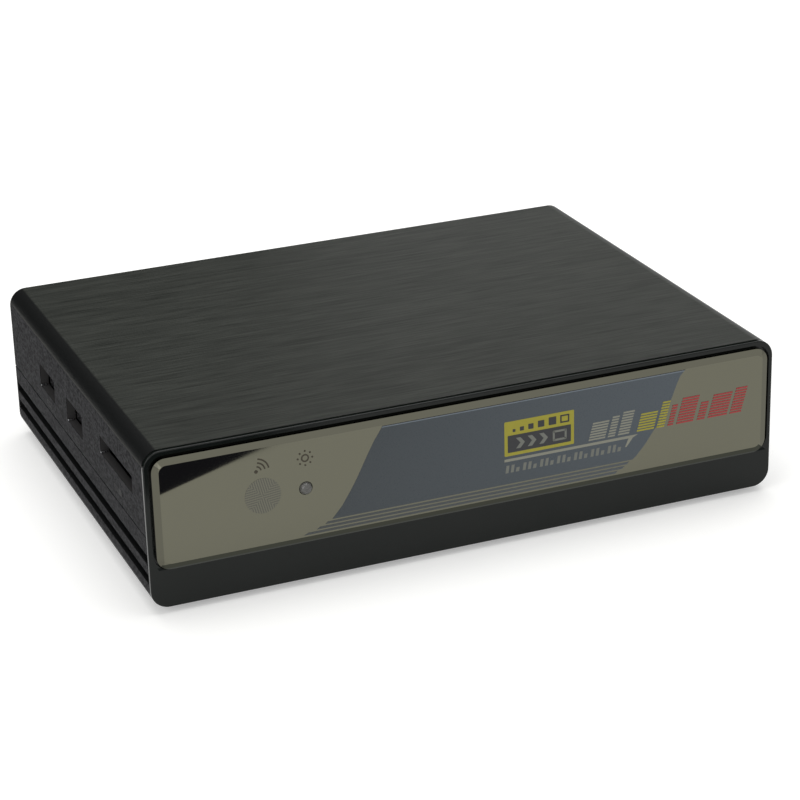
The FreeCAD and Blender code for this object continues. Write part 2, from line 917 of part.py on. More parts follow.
def capacitors():
    """A row of round can capacitors on square bases."""
    made = []
    y = front_y + can_from_front
    first = scaler_from_middle + (memory_pitch + memory_width) / 2 + can_from_memory + can_radius
    pitch = (half_width - can_from_right - first) / (can_count - 1)
    for i in range(can_count):
        x = first + i * pitch
        base = hung(x, y, 2 * can_radius, 2 * can_radius, can_base_height)
        can = rod("z", x, y, can_radius, board_z - can_height, board_z - can_base_height / 2)
        made.append(joined([base, can]))
    return Part.makeCompound(made)


def crystals():
    """Two metal-cased crystals along the board's front edge."""
    y = front_y + crystal_from_front
    made = []
    for x in row(2, crystal_pitch, crystal_from_middle):
        half = crystal_length / 2
        outline = corners(x - half, x + half, y - crystal_width / 2, y + crystal_width / 2)
        made.append(bar("z", outline, crystal_width / 2, board_z - crystal_height, board_z))
    return Part.makeCompound(made)


def side_socket_shells():
    """Metal shells of the two data sockets, with tabs up to the board."""
    z = board_z - data_drop
    made = []
    for y in data_places:
        half_y = data_width / 2
        half_z = data_height / 2
        end_x = socket_x + data_depth
        outer = bar("x", corners(y - half_y, y + half_y, z - half_z, z + half_z), data_corner,
                    socket_x, end_x)
        inner_y = half_y - data_skin
        inner_z = half_z - data_skin
        inner = bar("x", corners(y - inner_y, y + inner_y, z - inner_z, z + inner_z),
                    data_corner - data_skin, socket_x - overrun, end_x - data_skin)
        tabs = []
        for tab_x in (socket_x + leg_tab, end_x - 2 * leg_tab):
            for tab_y in (y - half_y, y + half_y - data_skin):
                tabs.append(block(tab_x, tab_x + leg_tab, tab_y, tab_y + data_skin, z, board_z))
        made.append(joined([outer] + tabs).cut(inner))
    return Part.makeCompound(made)


def side_socket_tongues():
    """Plastic tongues inside the two data sockets."""
    z = board_z - data_drop
    made = []
    for y in data_places:
        half_y = data_width / 2 - data_skin - lay_gap
        half_z = data_height / 2 - data_skin - lay_gap
        end_x = socket_x + data_depth - data_skin - lay_gap
        rear = bar("x", corners(y - half_y, y + half_y, z - half_z, z + half_z),
                   data_corner - data_skin, end_x - tongue_block, end_x)
        tongue = block(socket_x + tongue_set_back, end_x - tongue_block / 2,
                       y - tongue_width / 2, y + tongue_width / 2,
                       z + tongue_rise - tongue_thickness / 2, z + tongue_rise + tongue_thickness / 2)
        made.append(joined([rear, tongue]))
    return Part.makeCompound(made)


def card_socket_cover():
    """Sheet-metal cover of the card socket, a tray that opens towards the board."""
    half = card_cover_width / 2
    low = board_z - card_cover_height
    outer = block(socket_x, socket_x + card_cover_depth, card_y - half, card_y + half, low, board_z)
    inner = block(socket_x - overrun, socket_x + card_cover_depth - card_skin, card_y - half + card_skin,
                  card_y + half - card_skin, low + card_skin, board_z + overrun)
    return outer.cut(inner)


def card_socket_base():
    """Plastic base of the card socket, with the card's cavity open to the left."""
    half = card_cover_width / 2 - card_skin - lay_gap
    low = board_z - card_cover_height + card_skin + lay_gap
    end = socket_x + card_cover_depth - card_skin - lay_gap
    body = block(socket_x, end, card_y - half, card_y + half, low, board_z)
    card_half = (card_width + card_play) / 2
    cavity = block(socket_x - overrun, end - 2 * card_play, card_y - card_half, card_y + card_half,
                   low - overrun, low + card_cavity_height)
    return body.cut(cavity)


def rear_panel():
    """Flat rear panel with a hole for every socket."""
    plate = body_bar(wall + fit_gap, panel_inner_y, panel_outer_y)
    return plate.cut(panel_holes())


def power_inlet():
    """Round low-voltage power inlet."""
    x = rear_x["inlet"]
    z = board_z - inlet_drop
    end = panel_inner_y - lay_gap
    body = block(x - inlet_width / 2, x + inlet_width / 2, end - inlet_depth, end,
                 board_z - inlet_height, board_z)
    mouth = panel_outer_y + inlet_reach
    collar = rod("y", x, z, inlet_collar_radius, end - overrun, mouth)
    bore = rod("y", x, z, inlet_bore_radius, mouth - inlet_bore_depth, mouth + overrun)
    return joined([body, collar]).cut(bore)


def inlet_pin():
    """Centre pin of the power inlet."""
    mouth = panel_outer_y + inlet_reach
    return rod("y", rear_x["inlet"], board_z - inlet_drop, inlet_pin_radius,
               mouth - inlet_bore_depth, mouth - inlet_pin_set_back)


def video_shell(name):
    """Metal shell of a digital video socket, hung from the board by four tabs."""
    x = rear_x[name]
    z = board_z - video_drop
    end = panel_outer_y + video_reach
    start = end - video_depth
    outer = bar("y", video_outline(x, z, 0), video_corner, start, end)
    inner = bar("y", video_outline(x, z, video_skin), video_corner / 2, start + video_skin, end + overrun)
    tabs = []
    for tab_x in (x - video_width / 2, x + video_width / 2 - video_skin):
        for tab_y in (start + leg_tab, panel_inner_y - 2 * leg_tab):
            tabs.append(block(tab_x, tab_x + video_skin, tab_y, tab_y + leg_tab, z, board_z))
    return joined([outer] + tabs).cut(inner)


def video_tongue(name):
    """Plastic block and tongue inside a digital video socket."""
    x = rear_x[name]
    z = board_z - video_drop
    end = panel_outer_y + video_reach
    start = end - video_depth + video_skin + lay_gap
    rear = bar("y", video_outline(x, z, video_skin + lay_gap), video_corner / 2, start, start + video_block)
    half = video_tongue_width / 2
    thin = video_tongue_thickness / 2
    tongue = block(x - half, x + half, start + video_block / 2, end - video_tongue_set_back,
                   z - thin, z + thin)
    return joined([rear, tongue])


def dsub_flange_y():
    """Front face of the D-shaped socket's flange."""
    return panel_inner_y - lay_gap


def dsub_shell():
    """Metal flange and D-shaped collar of the 15-way socket."""
    x = rear_x["dsub"]
    z = board_z - dsub_drop
    front = dsub_flange_y()
    back = front - dsub_flange_thickness
    flange = block(x - dsub_flange_width / 2, x + dsub_flange_width / 2, back, front,
                   z - dsub_flange_height / 2, z + dsub_flange_height / 2)
    collar = bar("y", dsub_outline(0), dsub_corner, back, front + dsub_reach)
    inside = bar("y", dsub_outline(dsub_skin), dsub_corner - dsub_skin,
                 back - overrun, front + dsub_reach + overrun)
    holes = [rod("y", px, z, post_stub_radius + fit_gap, back - overrun, front + overrun)
             for px in post_places()]
    return joined([flange, collar]).cut([inside] + holes)


def dsub_insert():
    """Plastic insert of the 15-way socket, with three rows of pin holes."""
    x = rear_x["dsub"]
    z = board_z - dsub_drop
    back = dsub_flange_y() - dsub_flange_thickness - lay_gap
    face = dsub_flange_y() + dsub_reach - dsub_face_set_back
    low = z - dsub_flange_height / 2
    half = dsub_flange_width / 2
    body = block(x - half, x + half, back - dsub_body_depth, back, low, board_z)
    nose = bar("y", dsub_outline(dsub_skin + lay_gap), dsub_corner - dsub_skin, back - overrun, face)
    holes = [rod("y", px, z, post_stub_radius + fit_gap, back - post_stub_length, back + overrun)
             for px in post_places()]
    for i, pz in enumerate(row(dsub_rows, dsub_row_pitch, z)):
        stagger = dsub_pin_pitch / 4 if i % 2 else -dsub_pin_pitch / 4
        for px in row(dsub_columns, dsub_pin_pitch, x + stagger):
            holes.append(rod("y", px, pz, dsub_pin_radius, face - dsub_pin_depth, face + overrun))
    return joined([body, nose]).cut(holes)


def hex_posts():
    """Two hexagonal posts that the plug's thumb screws go into."""
    z = board_z - dsub_drop
    made = []
    start = panel_outer_y + lay_gap
    for x in post_places():
        radius = post_across / math.sqrt(3)
        ring = [vec(x + radius * math.cos(math.radians(60 * k)), start,
                    z + radius * math.sin(math.radians(60 * k))) for k in range(7)]
        post = Part.Face(Part.makePolygon(ring)).extrude(vec(0, post_length, 0))
        stub = rod("y", x, z, post_stub_radius, start - post_stub_length, start + overrun)
        end = start + post_length
        bore = rod("y", x, z, post_bore_radius, end - post_bore_depth, end + overrun)
        made.append(joined([post, stub]).cut(bore))
    return Part.makeCompound(made)


def audio_jack():
    """Small audio jack body with its plug bore."""
    x = rear_x["audio"]
    end = panel_inner_y - lay_gap
    half = audio_width / 2
    body = block(x - half, x + half, end - audio_depth, end, board_z - audio_height, board_z)
    return body.cut(audio_bore())


def audio_bore():
    """The hole that a small round audio plug goes into."""
    mouth = panel_outer_y + audio_reach
    return rod("y", rear_x["audio"], board_z - audio_drop, audio_bore_radius,
               mouth - audio_bore_depth, mouth + overrun)


def audio_ring():
    """Metal ring round the audio jack's mouth."""
    ring = rod("y", rear_x["audio"], board_z - audio_drop, audio_ring_radius,
               panel_inner_y - lay_gap, panel_outer_y + audio_reach)
    return ring.cut(audio_bore())


def phono_block():
    """Black block that carries two rows of phono jacks."""
    half = phono_columns * phono_pitch / 2 + phono_block_margin
    x = rear_x["phono"]
    end = panel_inner_y - lay_gap
    low = inner_floor_z + panel_groove + phono_floor_gap / 2
    return block(x - half, x + half, end - phono_block_depth, end, low, board_z)


def phono_sleeves():
    """Metal outer contacts of the six phono jacks."""
    made = []
    for x, z in phono_places:
        start = panel_inner_y - lay_gap
        end = panel_outer_y + phono_reach
        sleeve = rod("y", x, z, phono_sleeve_radius, start, end)
        hollow = rod("y", x, z, phono_sleeve_radius - phono_sleeve_skin, start - overrun, end + overrun)
        made.append(sleeve.cut(hollow))
    return Part.makeCompound(made)


def phono_colour(x, z):
    """Coloured ring round one phono jack, and the coloured core inside its sleeve."""
    start = panel_outer_y + lay_gap
    end = start + phono_ring_thickness
    ring = rod("y", x, z, phono_ring_radius, start, end)
    ring = ring.cut(rod("y", x, z, phono_sleeve_radius + lay_gap, start - overrun, end + overrun))
    core_end = panel_outer_y + phono_reach - phono_core_set_back
    core_radius = phono_sleeve_radius - phono_sleeve_skin - lay_gap
    core = rod("y", x, z, core_radius, panel_inner_y - lay_gap, core_end)
    core = core.cut(rod("y", x, z, phono_core_bore_radius,
                        core_end - phono_core_bore_depth, core_end + overrun))
    return [ring, core]


def phono_colours():
    """Jacks by colour: component video in the upper row, composite and stereo in the lower."""
    upper = ["phono_green", "phono_blue", "phono_red"]
    lower = ["phono_yellow", "phono_white", "phono_red"]
    nodes = {}
    for name, (x, z) in zip(upper + lower, phono_places):
        nodes.setdefault(name, []).extend(phono_colour(x, z))
    return {name: Part.makeCompound(solids) for name, solids in nodes.items()}


def side_cap(y):
    """One side push button: a round-ended cap with a flange behind the wall."""
    outline, radius = cap_outline(y, 0)
    cap = bar("x", outline, radius - cap_edge_slack, inner_x - lay_gap, half_width + cap_proud)
    outline, radius = cap_outline(y, cap_flange)
    flange_end = inner_x - lay_gap
    flange = bar("x", outline, radius - cap_edge_slack, flange_end - cap_flange_thickness, flange_end)
    return joined([cap, flange])


def plunger_end():
    """Outer end of a side switch's plunger, against the button's flange."""
    return inner_x - 2 * lay_gap - cap_flange_thickness


def side_plunger(y):
    """Plunger of one side switch."""
    end = plunger_end()
    start = end - switch_gap - cap_travel
    return rod("x", y, board_z - cap_drop, plunger_radius, start, end)


def button_switches():
    """Two push switches under the board's right edge."""
    made = []
    face = plunger_end() - switch_gap
    for y in cap_places.values():
        half = switch_width / 2
        body = block(face - switch_depth, face, y - half, y + half, board_z - switch_width, board_z)
        bore = rod("x", y, board_z - cap_drop, plunger_radius + plunger_play,
                   face - 2 * cap_travel - plunger_play, face + overrun)
        made.append(body.cut(bore))
    return Part.makeCompound(made)


def power_outline(extra):
    """Square outline of the power button, grown by an extra."""
    half = power_size / 2 + extra
    x = rear_x["power"]
    z = board_z - power_drop
    return corners(x - half, x + half, z - half, z + half)


def power_button():
    """Square power button with a flange behind the panel."""
    end = panel_inner_y - lay_gap
    cap = bar("y", power_outline(0), power_corner, end, panel_outer_y + power_proud)
    outer = [e for e in cap.Edges if e.BoundBox.YMin > panel_outer_y + power_proud - same_place]
    cap = cap.makeFillet(power_corner / 2, outer)
    flange = bar("y", power_outline(power_flange), power_corner, end - power_flange_thickness, end)
    return joined([cap, flange])


def power_switch_y():
    """Face of the latching switch behind the power button."""
    return panel_inner_y - lay_gap - power_flange_thickness - power_travel - power_room


def power_stem():
    """Square stem between the power button and its switch."""
    half = power_stem_width / 2
    x = rear_x["power"]
    z = board_z - power_drop
    end = panel_inner_y - 2 * lay_gap - power_flange_thickness
    return block(x - half, x + half, power_switch_y() - power_stem_bite, end, z - half, z + half)


def power_switch():
    """Body of the latching switch."""
    half = power_switch_size / 2
    x = rear_x["power"]
    z = board_z - power_drop
    face = power_switch_y()
    body = block(x - half, x + half, face - power_switch_depth, face, board_z - power_switch_size, board_z)
    hole = power_stem_width / 2 + plunger_play
    bore = block(x - hole, x + hole, face - power_stem_bite - power_travel - power_room, face + overrun,
                 z - hole, z + hole)
    return body.cut(bore)


def nodes():
    """Every piece by the name of its node."""
    made = {
        "top_cover": top_cover(),
        "bottom_cover": bottom_cover(),
        "front_bezel": front_bezel(),
        "faceplate": faceplate(),
        "faceplate_tape": faceplate_tape(),
        "ir_filter": ir_filter(),
        "rear_panel": rear_panel(),
        "feet": feet(),
        "case_screws": case_screws(),
        "main_board": main_board(),
        "board_screws": board_screws(),
        "ir_receiver": ir_receiver(),
        "status_led": status_led(),
        "led_holder": led_holder(),
        "scaler_chip": scaler_chip(),
        "thermal_pad": thermal_pad(),
        "heat_sink": heat_sink(),
        "memory_chips": memory_chips(),
        "decoder_chip": decoder_chip(),
        "small_chips": small_chips(),
        "power_inductors": power_inductors(),
        "capacitors": capacitors(),
        "crystals": crystals(),
        "side_socket_shells": side_socket_shells(),
        "side_socket_tongues": side_socket_tongues(),
        "card_socket_cover": card_socket_cover(),
        "card_socket_base": card_socket_base(),
        "power_inlet": power_inlet(),
        "inlet_pin": inlet_pin(),
        "video_out_shell": video_shell("video_out"),
        "video_out_tongue": video_tongue("video_out"),
        "video_in_shell": video_shell("video_in"),
        "video_in_tongue": video_tongue("video_in"),
        "dsub_shell": dsub_shell(),
        "dsub_insert": dsub_insert(),
        "hex_posts": hex_posts(),
        "audio_jack": audio_jack(),
        "audio_ring": audio_ring(),
        "phono_block": phono_block(),
        "phono_sleeves": phono_sleeves(),
        "source_button": side_cap(cap_places["source"]),
        "source_plunger": side_plunger(cap_places["source"]),
        "scale_button": side_cap(cap_places["scale"]),
        "scale_plunger": side_plunger(cap_places["scale"]),
        "button_switches": button_switches(),
        "power_button": power_button(),
        "power_stem": power_stem(),
        "power_switch": power_switch(),
    }
    made.update(phono_colours())
    return made


os.makedirs("parts", exist_ok=True)
for name, shape in nodes().items():
    shape.exportStep(f"parts/{name}.step")
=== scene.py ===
"""Looks of a desktop video scaler switch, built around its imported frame.

Lengths are in millimetres in the code and in metres in Blender. X runs to the right as
seen from the front, Y to the back and Z up, as in the frame.
"""
import json
import logging
import math
from collections.abc import Callable
from dataclasses import KW_ONLY, dataclass
from enum import Enum

import bmesh
import bpy
from mathutils import Euler, Matrix, Vector

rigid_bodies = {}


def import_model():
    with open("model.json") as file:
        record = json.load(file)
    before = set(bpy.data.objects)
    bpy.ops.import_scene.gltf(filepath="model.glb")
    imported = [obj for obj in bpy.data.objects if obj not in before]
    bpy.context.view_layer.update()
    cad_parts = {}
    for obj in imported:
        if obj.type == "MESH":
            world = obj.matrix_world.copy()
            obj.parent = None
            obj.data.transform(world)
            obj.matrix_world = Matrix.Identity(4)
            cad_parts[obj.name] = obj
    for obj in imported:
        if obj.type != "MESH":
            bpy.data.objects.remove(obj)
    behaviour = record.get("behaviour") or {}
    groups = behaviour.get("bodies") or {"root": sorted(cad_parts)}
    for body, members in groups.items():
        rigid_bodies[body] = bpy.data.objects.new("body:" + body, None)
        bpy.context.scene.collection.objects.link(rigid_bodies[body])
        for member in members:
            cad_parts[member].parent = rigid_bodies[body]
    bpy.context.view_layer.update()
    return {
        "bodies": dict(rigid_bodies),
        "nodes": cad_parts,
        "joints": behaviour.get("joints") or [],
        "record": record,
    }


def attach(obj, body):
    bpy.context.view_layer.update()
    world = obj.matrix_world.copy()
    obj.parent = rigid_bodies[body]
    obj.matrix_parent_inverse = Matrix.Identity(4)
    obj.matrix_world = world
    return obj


LOG = logging.getLogger("scaler")
MM = 0.001

CASE_TOP = 38.8
CASE_HALF_WIDTH = 77.0
PLATE_FACE_Y = -60.4
PANEL_FACE_Y = 52.7
EYE_Z = 24.1
RECEIVER_X = -50.6
LAMP_X = -40.6
FILM = 0.03

Node = bpy.types.Node
Socket = bpy.types.NodeSocket
Piece = bpy.types.Object
Inputs = dict[int | str, object]
Numbers = tuple[float, ...]
Rows = tuple[Numbers, ...]
Shapes = tuple[Rows, ...]
Pair = tuple[float, float]
Triple = tuple[float, float, float]
Noises = dict[str, tuple[Triple, float]]
Plain = tuple[tuple[str, float], ...]
METAL: Plain = (("Metallic", 1.0),)
# Most of a noise lies in this range.
USUAL: Pair = (0.3, 0.7)


def linear(code: str) -> tuple[float, float, float, float]:
    """Turns an sRGB hex colour into the linear colour that shaders take.

    Args:
        code: Colour as "#rrggbb".

    Returns:
        Red, green, blue and an alpha of one.
    """
    parts = [int(code[i:i + 2], 16) / 255 for i in (1, 3, 5)]
    shades = [p / 12.92 if p <= 0.04045 else ((p + 0.055) / 1.055) ** 2.4 for p in parts]
    return (*shades, 1.0)


class Canvas:
    """The nodes of a material or of the world."""

    def __init__(self, block: bpy.types.Material | bpy.types.World) -> None:
        """Empties the nodes and adds the place on the object.

        Args:
            block: New material or world.
        """
        block.use_nodes = True
        self.tree = block.node_tree
        self.tree.nodes.clear()
        self.place = self.add("TexCoord").outputs["Object"]

    def fill(self, node: Node, inputs: Inputs) -> None:
        """Sets and links inputs of a node.

        Args:
            node: The node.
            inputs: By name, or by number among those in use: a value, a hex colour, an output,
                or a node, which stands for its first output in use.
        """
        used = [socket for socket in node.inputs if socket.enabled]
        for key, value in inputs.items():
            socket = used[key] if isinstance(key, int) else node.inputs[key]
            if isinstance(value, Node):
                value = next(output for output in value.outputs if output.enabled)
            if isinstance(value, Socket):
                self.tree.links.new(value, socket)
            else:
                socket.default_value = linear(value) if isinstance(value, str) else value

    def add(self, kind: str, *inputs: object, **settings: object) -> Node:
        """Adds a node with its settings and links.

        Args:
            kind: Node type without the ShaderNode before it, or the operation of a math node.
            inputs: What its inputs get in their order, as fill() takes it.
            settings: Its properties, and what other inputs get, by name.

        Returns:
            The new node.
        """
        node = self.tree.nodes.new(f"ShaderNode{'Math' if kind.isupper() else kind}")
        if kind.isupper():
            node.operation = kind
        named = {}
        for name, value in settings.items():
            if hasattr(node, name):
                setattr(node, name, value)
            else:
                named[name.replace("_", " ")] = value
        self.fill(node, dict(enumerate(inputs)) | named)
        return node


@dataclass(frozen=True)
class Zone:
    """Part of a surface with a shade of its own: none up to one place on an axis, full from another.

    The places are in millimetres. A double zone lies at both ends of the axis.
    """

    axis: str
    none: float
    full: float
    shade: str
    double: bool = False


@dataclass(frozen=True)
class Finish:
    """What a real material shows: its name, colour and gloss, and the patterns of its making.

    The noise named tint blends the colour into the shade, the one named gloss moves the
    roughness over the spread, and the one named relief is the bump.
    """

    name: str
    colour: str
    roughness: float
    specular: float = 0.5
    shade: str = ""
    _: KW_ONLY
    contrast: Pair = USUAL
    spread: Pair = (-0.06, 0.06)
    depth: float = 0.01
    zones: tuple[Zone, ...] = ()
    plain: Plain = ()

    def noises(self) -> Noises:
        """Gives the noises: sizes along X, Y and Z in millimetres, and the number of finer layers."""
        return {}

    def draw(self, on: Canvas) -> dict[str, Node]:
        """Draws the noises.

        Args:
            on: Canvas of the material.

        Returns:
            A factor from 0 to 1 for each.
        """
        drawn = {}
        for name, (size, detail) in self.noises().items():
            scaled = on.add("Mapping", on.place, Scale=[1 / (s * MM) for s in size])
            drawn[name] = on.add("TexNoise", scaled, Scale=1.0, Detail=detail)
        return drawn

    def dress(self, on: Canvas) -> Inputs:
        """Lays out tint, zones, gloss and relief.

        Args:
            on: Canvas of the material.

        Returns:
            What the shader's inputs get.
        """
        drawn = self.draw(on)
        colour = self.colour
        if "tint" in drawn:
            share = on.add("MapRange", drawn["tint"], *self.contrast)
            colour = on.add("Mix", share, colour, self.shade, data_type="RGBA")
        for zone in self.zones:
            way = on.add("SeparateXYZ", on.place).outputs[zone.axis]
            if zone.double:
                way = on.add("ABSOLUTE", way)
            share = on.add("MapRange", way, zone.none * MM, zone.full * MM)
            colour = on.add("Mix", share, colour, zone.shade, data_type="RGBA")
        low, high = (self.roughness + change for change in self.spread)
        looks = {"Base Color": colour, "Roughness": on.add("MapRange", drawn["gloss"], *USUAL, low, high)}
        if "relief" in drawn:
            looks["Normal"] = on.add("Bump", Height=drawn["relief"], Distance=self.depth * MM)
        return looks | dict(self.plain)

    def material(self) -> bpy.types.Material:
        """Makes the material once and gives it again when asked.

        Returns:
            The material.
        """
        made = bpy.data.materials.get(self.name)
        if made is None:
            made = bpy.data.materials.new(self.name)
            on = Canvas(made)
            shader = on.add("BsdfPrincipled", self.colour, Roughness=self.roughness,
                            Specular_IOR_Level=self.specular)
            on.fill(shader, self.dress(on))
            on.add("OutputMaterial", shader)
        return made


@dataclass(frozen=True)
class Moulded(Finish):
    """Moulded plastic, rubber or epoxy: soft flow marks and fine spark-eroded grain, both of real size."""

    flow: float = 3.0
    grain: float = 0.3

    def noises(self) -> Noises:
        """Gives the flow marks for shade and gloss, and the mould's grain."""
        flow = ((self.flow,) * 3, 4.0)
        return {"tint": flow, "gloss": flow, "relief": ((self.grain,) * 3, 3.0)}


@dataclass(frozen=True)
class Rolled(Finish):
    """Rolled, plated or drawn metal: streaks along one way and small clouds."""

    # Real streaks are 0.05 mm wide. They are drawn wider, because they wouldn't show.
    streak: Triple = (6.0, 0.4, 0.4)
    cloud: float = 3.0
    _: KW_ONLY
    spread: Pair = (0.0, 0.15)
    plain: Plain = METAL

    def noises(self) -> Noises:
        """Gives clouds for the shade, and streaks for gloss and surface."""
        streak = (self.streak, 3.0)
        return {"tint": ((self.cloud,) * 3, 2.0), "gloss": streak, "relief": streak}


@dataclass(frozen=True)
class ClearEpoxy(Finish):
    """Clear cast epoxy: light passes, with a slight haze."""

    haze: float = 0.8
    _: KW_ONLY
    contrast: Pair = (0.0, 1.0)
    spread: Pair = (0.0, 0.1)
    plain: Plain = (("Transmission Weight", 0.3), ("IOR", 1.54))

    def noises(self) -> Noises:
        """Gives the haze for shade and gloss."""
        return dict.fromkeys(("tint", "gloss"), ((self.haze,) * 3, 2.0))


@dataclass(frozen=True)
class Ink(Finish):
    """Screen-printed ink: nearly even, with the faint grain of the screen's mesh."""

    # The real mesh has 0.1 mm between its threads. It is drawn coarser, because it wouldn't show.
    mesh: float = 0.25
    _: KW_ONLY
    spread: Pair = (-0.05, 0.08)
    depth: float = 0.004

    def noises(self) -> Noises:
        """Gives the mesh for gloss and surface."""
        return dict.fromkeys(("gloss", "relief"), ((self.mesh,) * 3, 2.0))


@dataclass(frozen=True)
class MirrorSheet(Finish):
    """Cast acrylic with a tinted metal layer: a mirror with faint smears and waves.

    The bevels at both ends get a darker colour of painted shade, and its foot a lighter one of
    painted light.
    """

    smear: Triple = (30.0, 30.0, 12.0)
    wave: float = 22.0
    _: KW_ONLY
    spread: Pair = (0.0, 0.05)
    # Painted shade on the side bevels and painted light on the foot, as zones of colour.
    zones: tuple[Zone, ...] = (Zone("X", 73.75, 73.85, "#59584e", True), Zone("Z", 11.2, 11.1, "#70706a"))
    plain: Plain = METAL

    def noises(self) -> Noises:
        """Gives smears for the gloss, and waves for the surface."""
        return {"gloss": (self.smear, 3.0), "relief": ((self.wave,) * 3, 1.0)}


@dataclass(frozen=True)
class PerforatedMirror(MirrorSheet):
    """Mirror layer with fine rows of dots, so that remote light passes: a dull, finely lined disc."""

    # Real rows stand 0.3 mm apart. They are drawn wider, because they wouldn't show.
    pitch: float = 0.55
    pitch_ratio: float = 1.35
    rise: float = -0.1
    lean: float = 0.25
    cross_share: float = 0.3
    dot_range: Pair = (-0.1, 0.4)
    middle: Pair = (RECEIVER_X, EYE_Z)

    def dress(self, on: Canvas) -> Inputs:
        """Draws level rows beside the middle and upright rows above and below it.

        Args:
            on: Canvas of the material.

        Returns:
            What the shader's inputs get.
        """
        x, _, z = on.add("SeparateXYZ", on.place).outputs
        x, z = (on.add("SUBTRACT", way, middle * MM) for way, middle in zip((x, z), self.middle))
        turn = 2 * math.pi / (self.pitch * MM)
        patterns = []
        for across, along, lean in ((z, x, self.rise), (x, z, self.lean)):
            slanted = on.add("MULTIPLY_ADD", along, lean, across)
            rates = (slanted, turn), (along, turn * self.pitch_ratio)
            waves = [on.add("SINE", on.add("MULTIPLY", way, rate)) for way, rate in rates]
            patterns.append(on.add("MapRange", on.add("Mix", self.cross_share, *waves), *self.dot_range))
        far_x, far_z = (on.add("ABSOLUTE", way) for way in (x, z))
        upright = on.add("GREATER_THAN", far_z, far_x)
        dots = on.add("Mix", upright, *patterns)
        return super().dress(on) | {
            "Base Color": on.add("Mix", dots, self.colour, self.shade, data_type="RGBA")}


@dataclass(frozen=True)
class Hairline(Finish):
    """Black ABS of the covers, from a mould with a brushed top and spark-eroded sides.

    The flat top has hairlines along its length, and the round edges and the walls of the
    cut-outs are smooth. The walls of the cut-outs get a lighter grey, which is painted light,
    and a light line of painted highlight runs where the stony texture of the sides ends.
    """

    band: str = "#151616"
    side: str = "#151517"
    side_light: str = "#3a3a3c"
    side_roughness: float = 0.85
    # Painted light: the walls of the cut-outs are the same black ABS, given a lighter grey.
    cut: str = "#3e3d3d"
    # Painted highlight: the light line where the texture of the sides ends.
    line: str = "#3c3c3a"
    # Real hairlines are 0.1 mm wide and the real stone grain is 0.3 mm. Both are drawn coarser,
    # because neither would show.
    hairline: Triple = (10.0, 0.35, 50.0)
    broad_hairline: Triple = (25.0, 1.05, 50.0)
    broad_share: float = 0.35
    speck: Triple = (0.6, 0.8, 0.55)
    cloud: Triple = (1.3, 2.2, 1.0)
    cloud_share: float = 0.4
    streak_range: Pair = (0.36, 0.64)
    stone_range: Pair = (0.39, 0.61)
    hairline_share: float = 0.25
    top_zone: Pair = (CASE_TOP - 0.12, CASE_TOP - 0.03)
    side_zone: Pair = (CASE_HALF_WIDTH - 0.16, CASE_HALF_WIDTH - 0.06)
    ridge_z: float = CASE_TOP - 3.3
    ridge_zone: Pair = (0.2, 0.12)
    slot_z: float = 26.5
    slot_reach: float = 4.5
    wall_x: float = 2.2 - CASE_HALF_WIDTH
    slots_end: float = 30.0

    def noises(self) -> Noises:
        """Gives hairlines and broader streaks for the top, and specks and clouds for the sides."""
        return {"fine": (self.hairline, 3.0), "broad": (self.broad_hairline, 2.0),
                "speck": (self.speck, 3.0), "cloud": (self.cloud, 4.0)}

    def dress(self, on: Canvas) -> Inputs:
        """Finds the top, the cut-out walls, the sides and the painted highlight line, and gives each its
        look.

        Args:
            on: Canvas of the material.

        Returns:
            What the shader's inputs get.
        """
        x, y, z = on.add("SeparateXYZ", on.place).outputs
        across = on.add("ABSOLUTE", x)
        off = on.add("ABSOLUTE", on.add("SUBTRACT", z, self.ridge_z * MM))
        zones = (z, self.top_zone), (across, self.side_zone), (off, self.ridge_zone)
        top, side, painted_highlight = (on.add("MapRange", way, *(end * MM for end in ends)) for way, ends in zones)
        # Mask of the walls of the cut-outs, which get a lighter grey of painted light.
        cut = on.add("COMPARE", z, self.slot_z * MM, self.slot_reach * MM)
        for way, end in ((x, self.wall_x), (y, self.slots_end)):
            cut = on.add("MULTIPLY", cut, on.add("LESS_THAN", way, end * MM))
        fine, broad, speck, cloud = self.draw(on).values()
        streak = on.add("MapRange", on.add("Mix", self.broad_share, fine, broad), *self.streak_range)
        stone = on.add("MapRange", on.add("Mix", self.cloud_share, speck, cloud), *self.stone_range)
        brushed = on.add("Mix", streak, self.colour, self.shade, data_type="RGBA")
        stony = on.add("Mix", stone, self.side, self.side_light, data_type="RGBA")
        colour = self.band
        # The walls of the cut-outs get painted light, and the line where the texture ends a painted
        # highlight.
        for zone, paint in ((top, brushed), (cut, self.cut), (side, stony), (painted_highlight, self.line)):
            colour = on.add("Mix", zone, colour, paint, data_type="RGBA")
        crests, pits = on.add("MULTIPLY", streak, top), on.add("MULTIPLY", stone, side)
        height = on.add("MULTIPLY_ADD", crests, self.hairline_share, pits)
        return {"Base Color": colour,
                "Roughness": on.add("MapRange", side, 0.0, 1.0, self.roughness, self.side_roughness),
                "Normal": on.add("Bump", Height=height, Distance=self.depth * MM)}


@dataclass(frozen=True)
class Circuit(Finish):
    """Etched copper under solder mask: lighter tracks show through the green lacquer."""

    pitch: float = 0.5952

    def dress(self, on: Canvas) -> Inputs:
        """Draws the tracks, of which the pattern's unit holds four."""
        track = on.add("TexBrick", on.place, Scale=1 / (4 * self.pitch * MM), Mortar_Size=0.06,
                       offset=0.35).outputs["Fac"]
        return {"Base Color": on.add("Mix", track, self.colour, self.shade, data_type="RGBA"),
                "Normal": on.add("Bump", Height=track, Distance=self.depth * MM)}


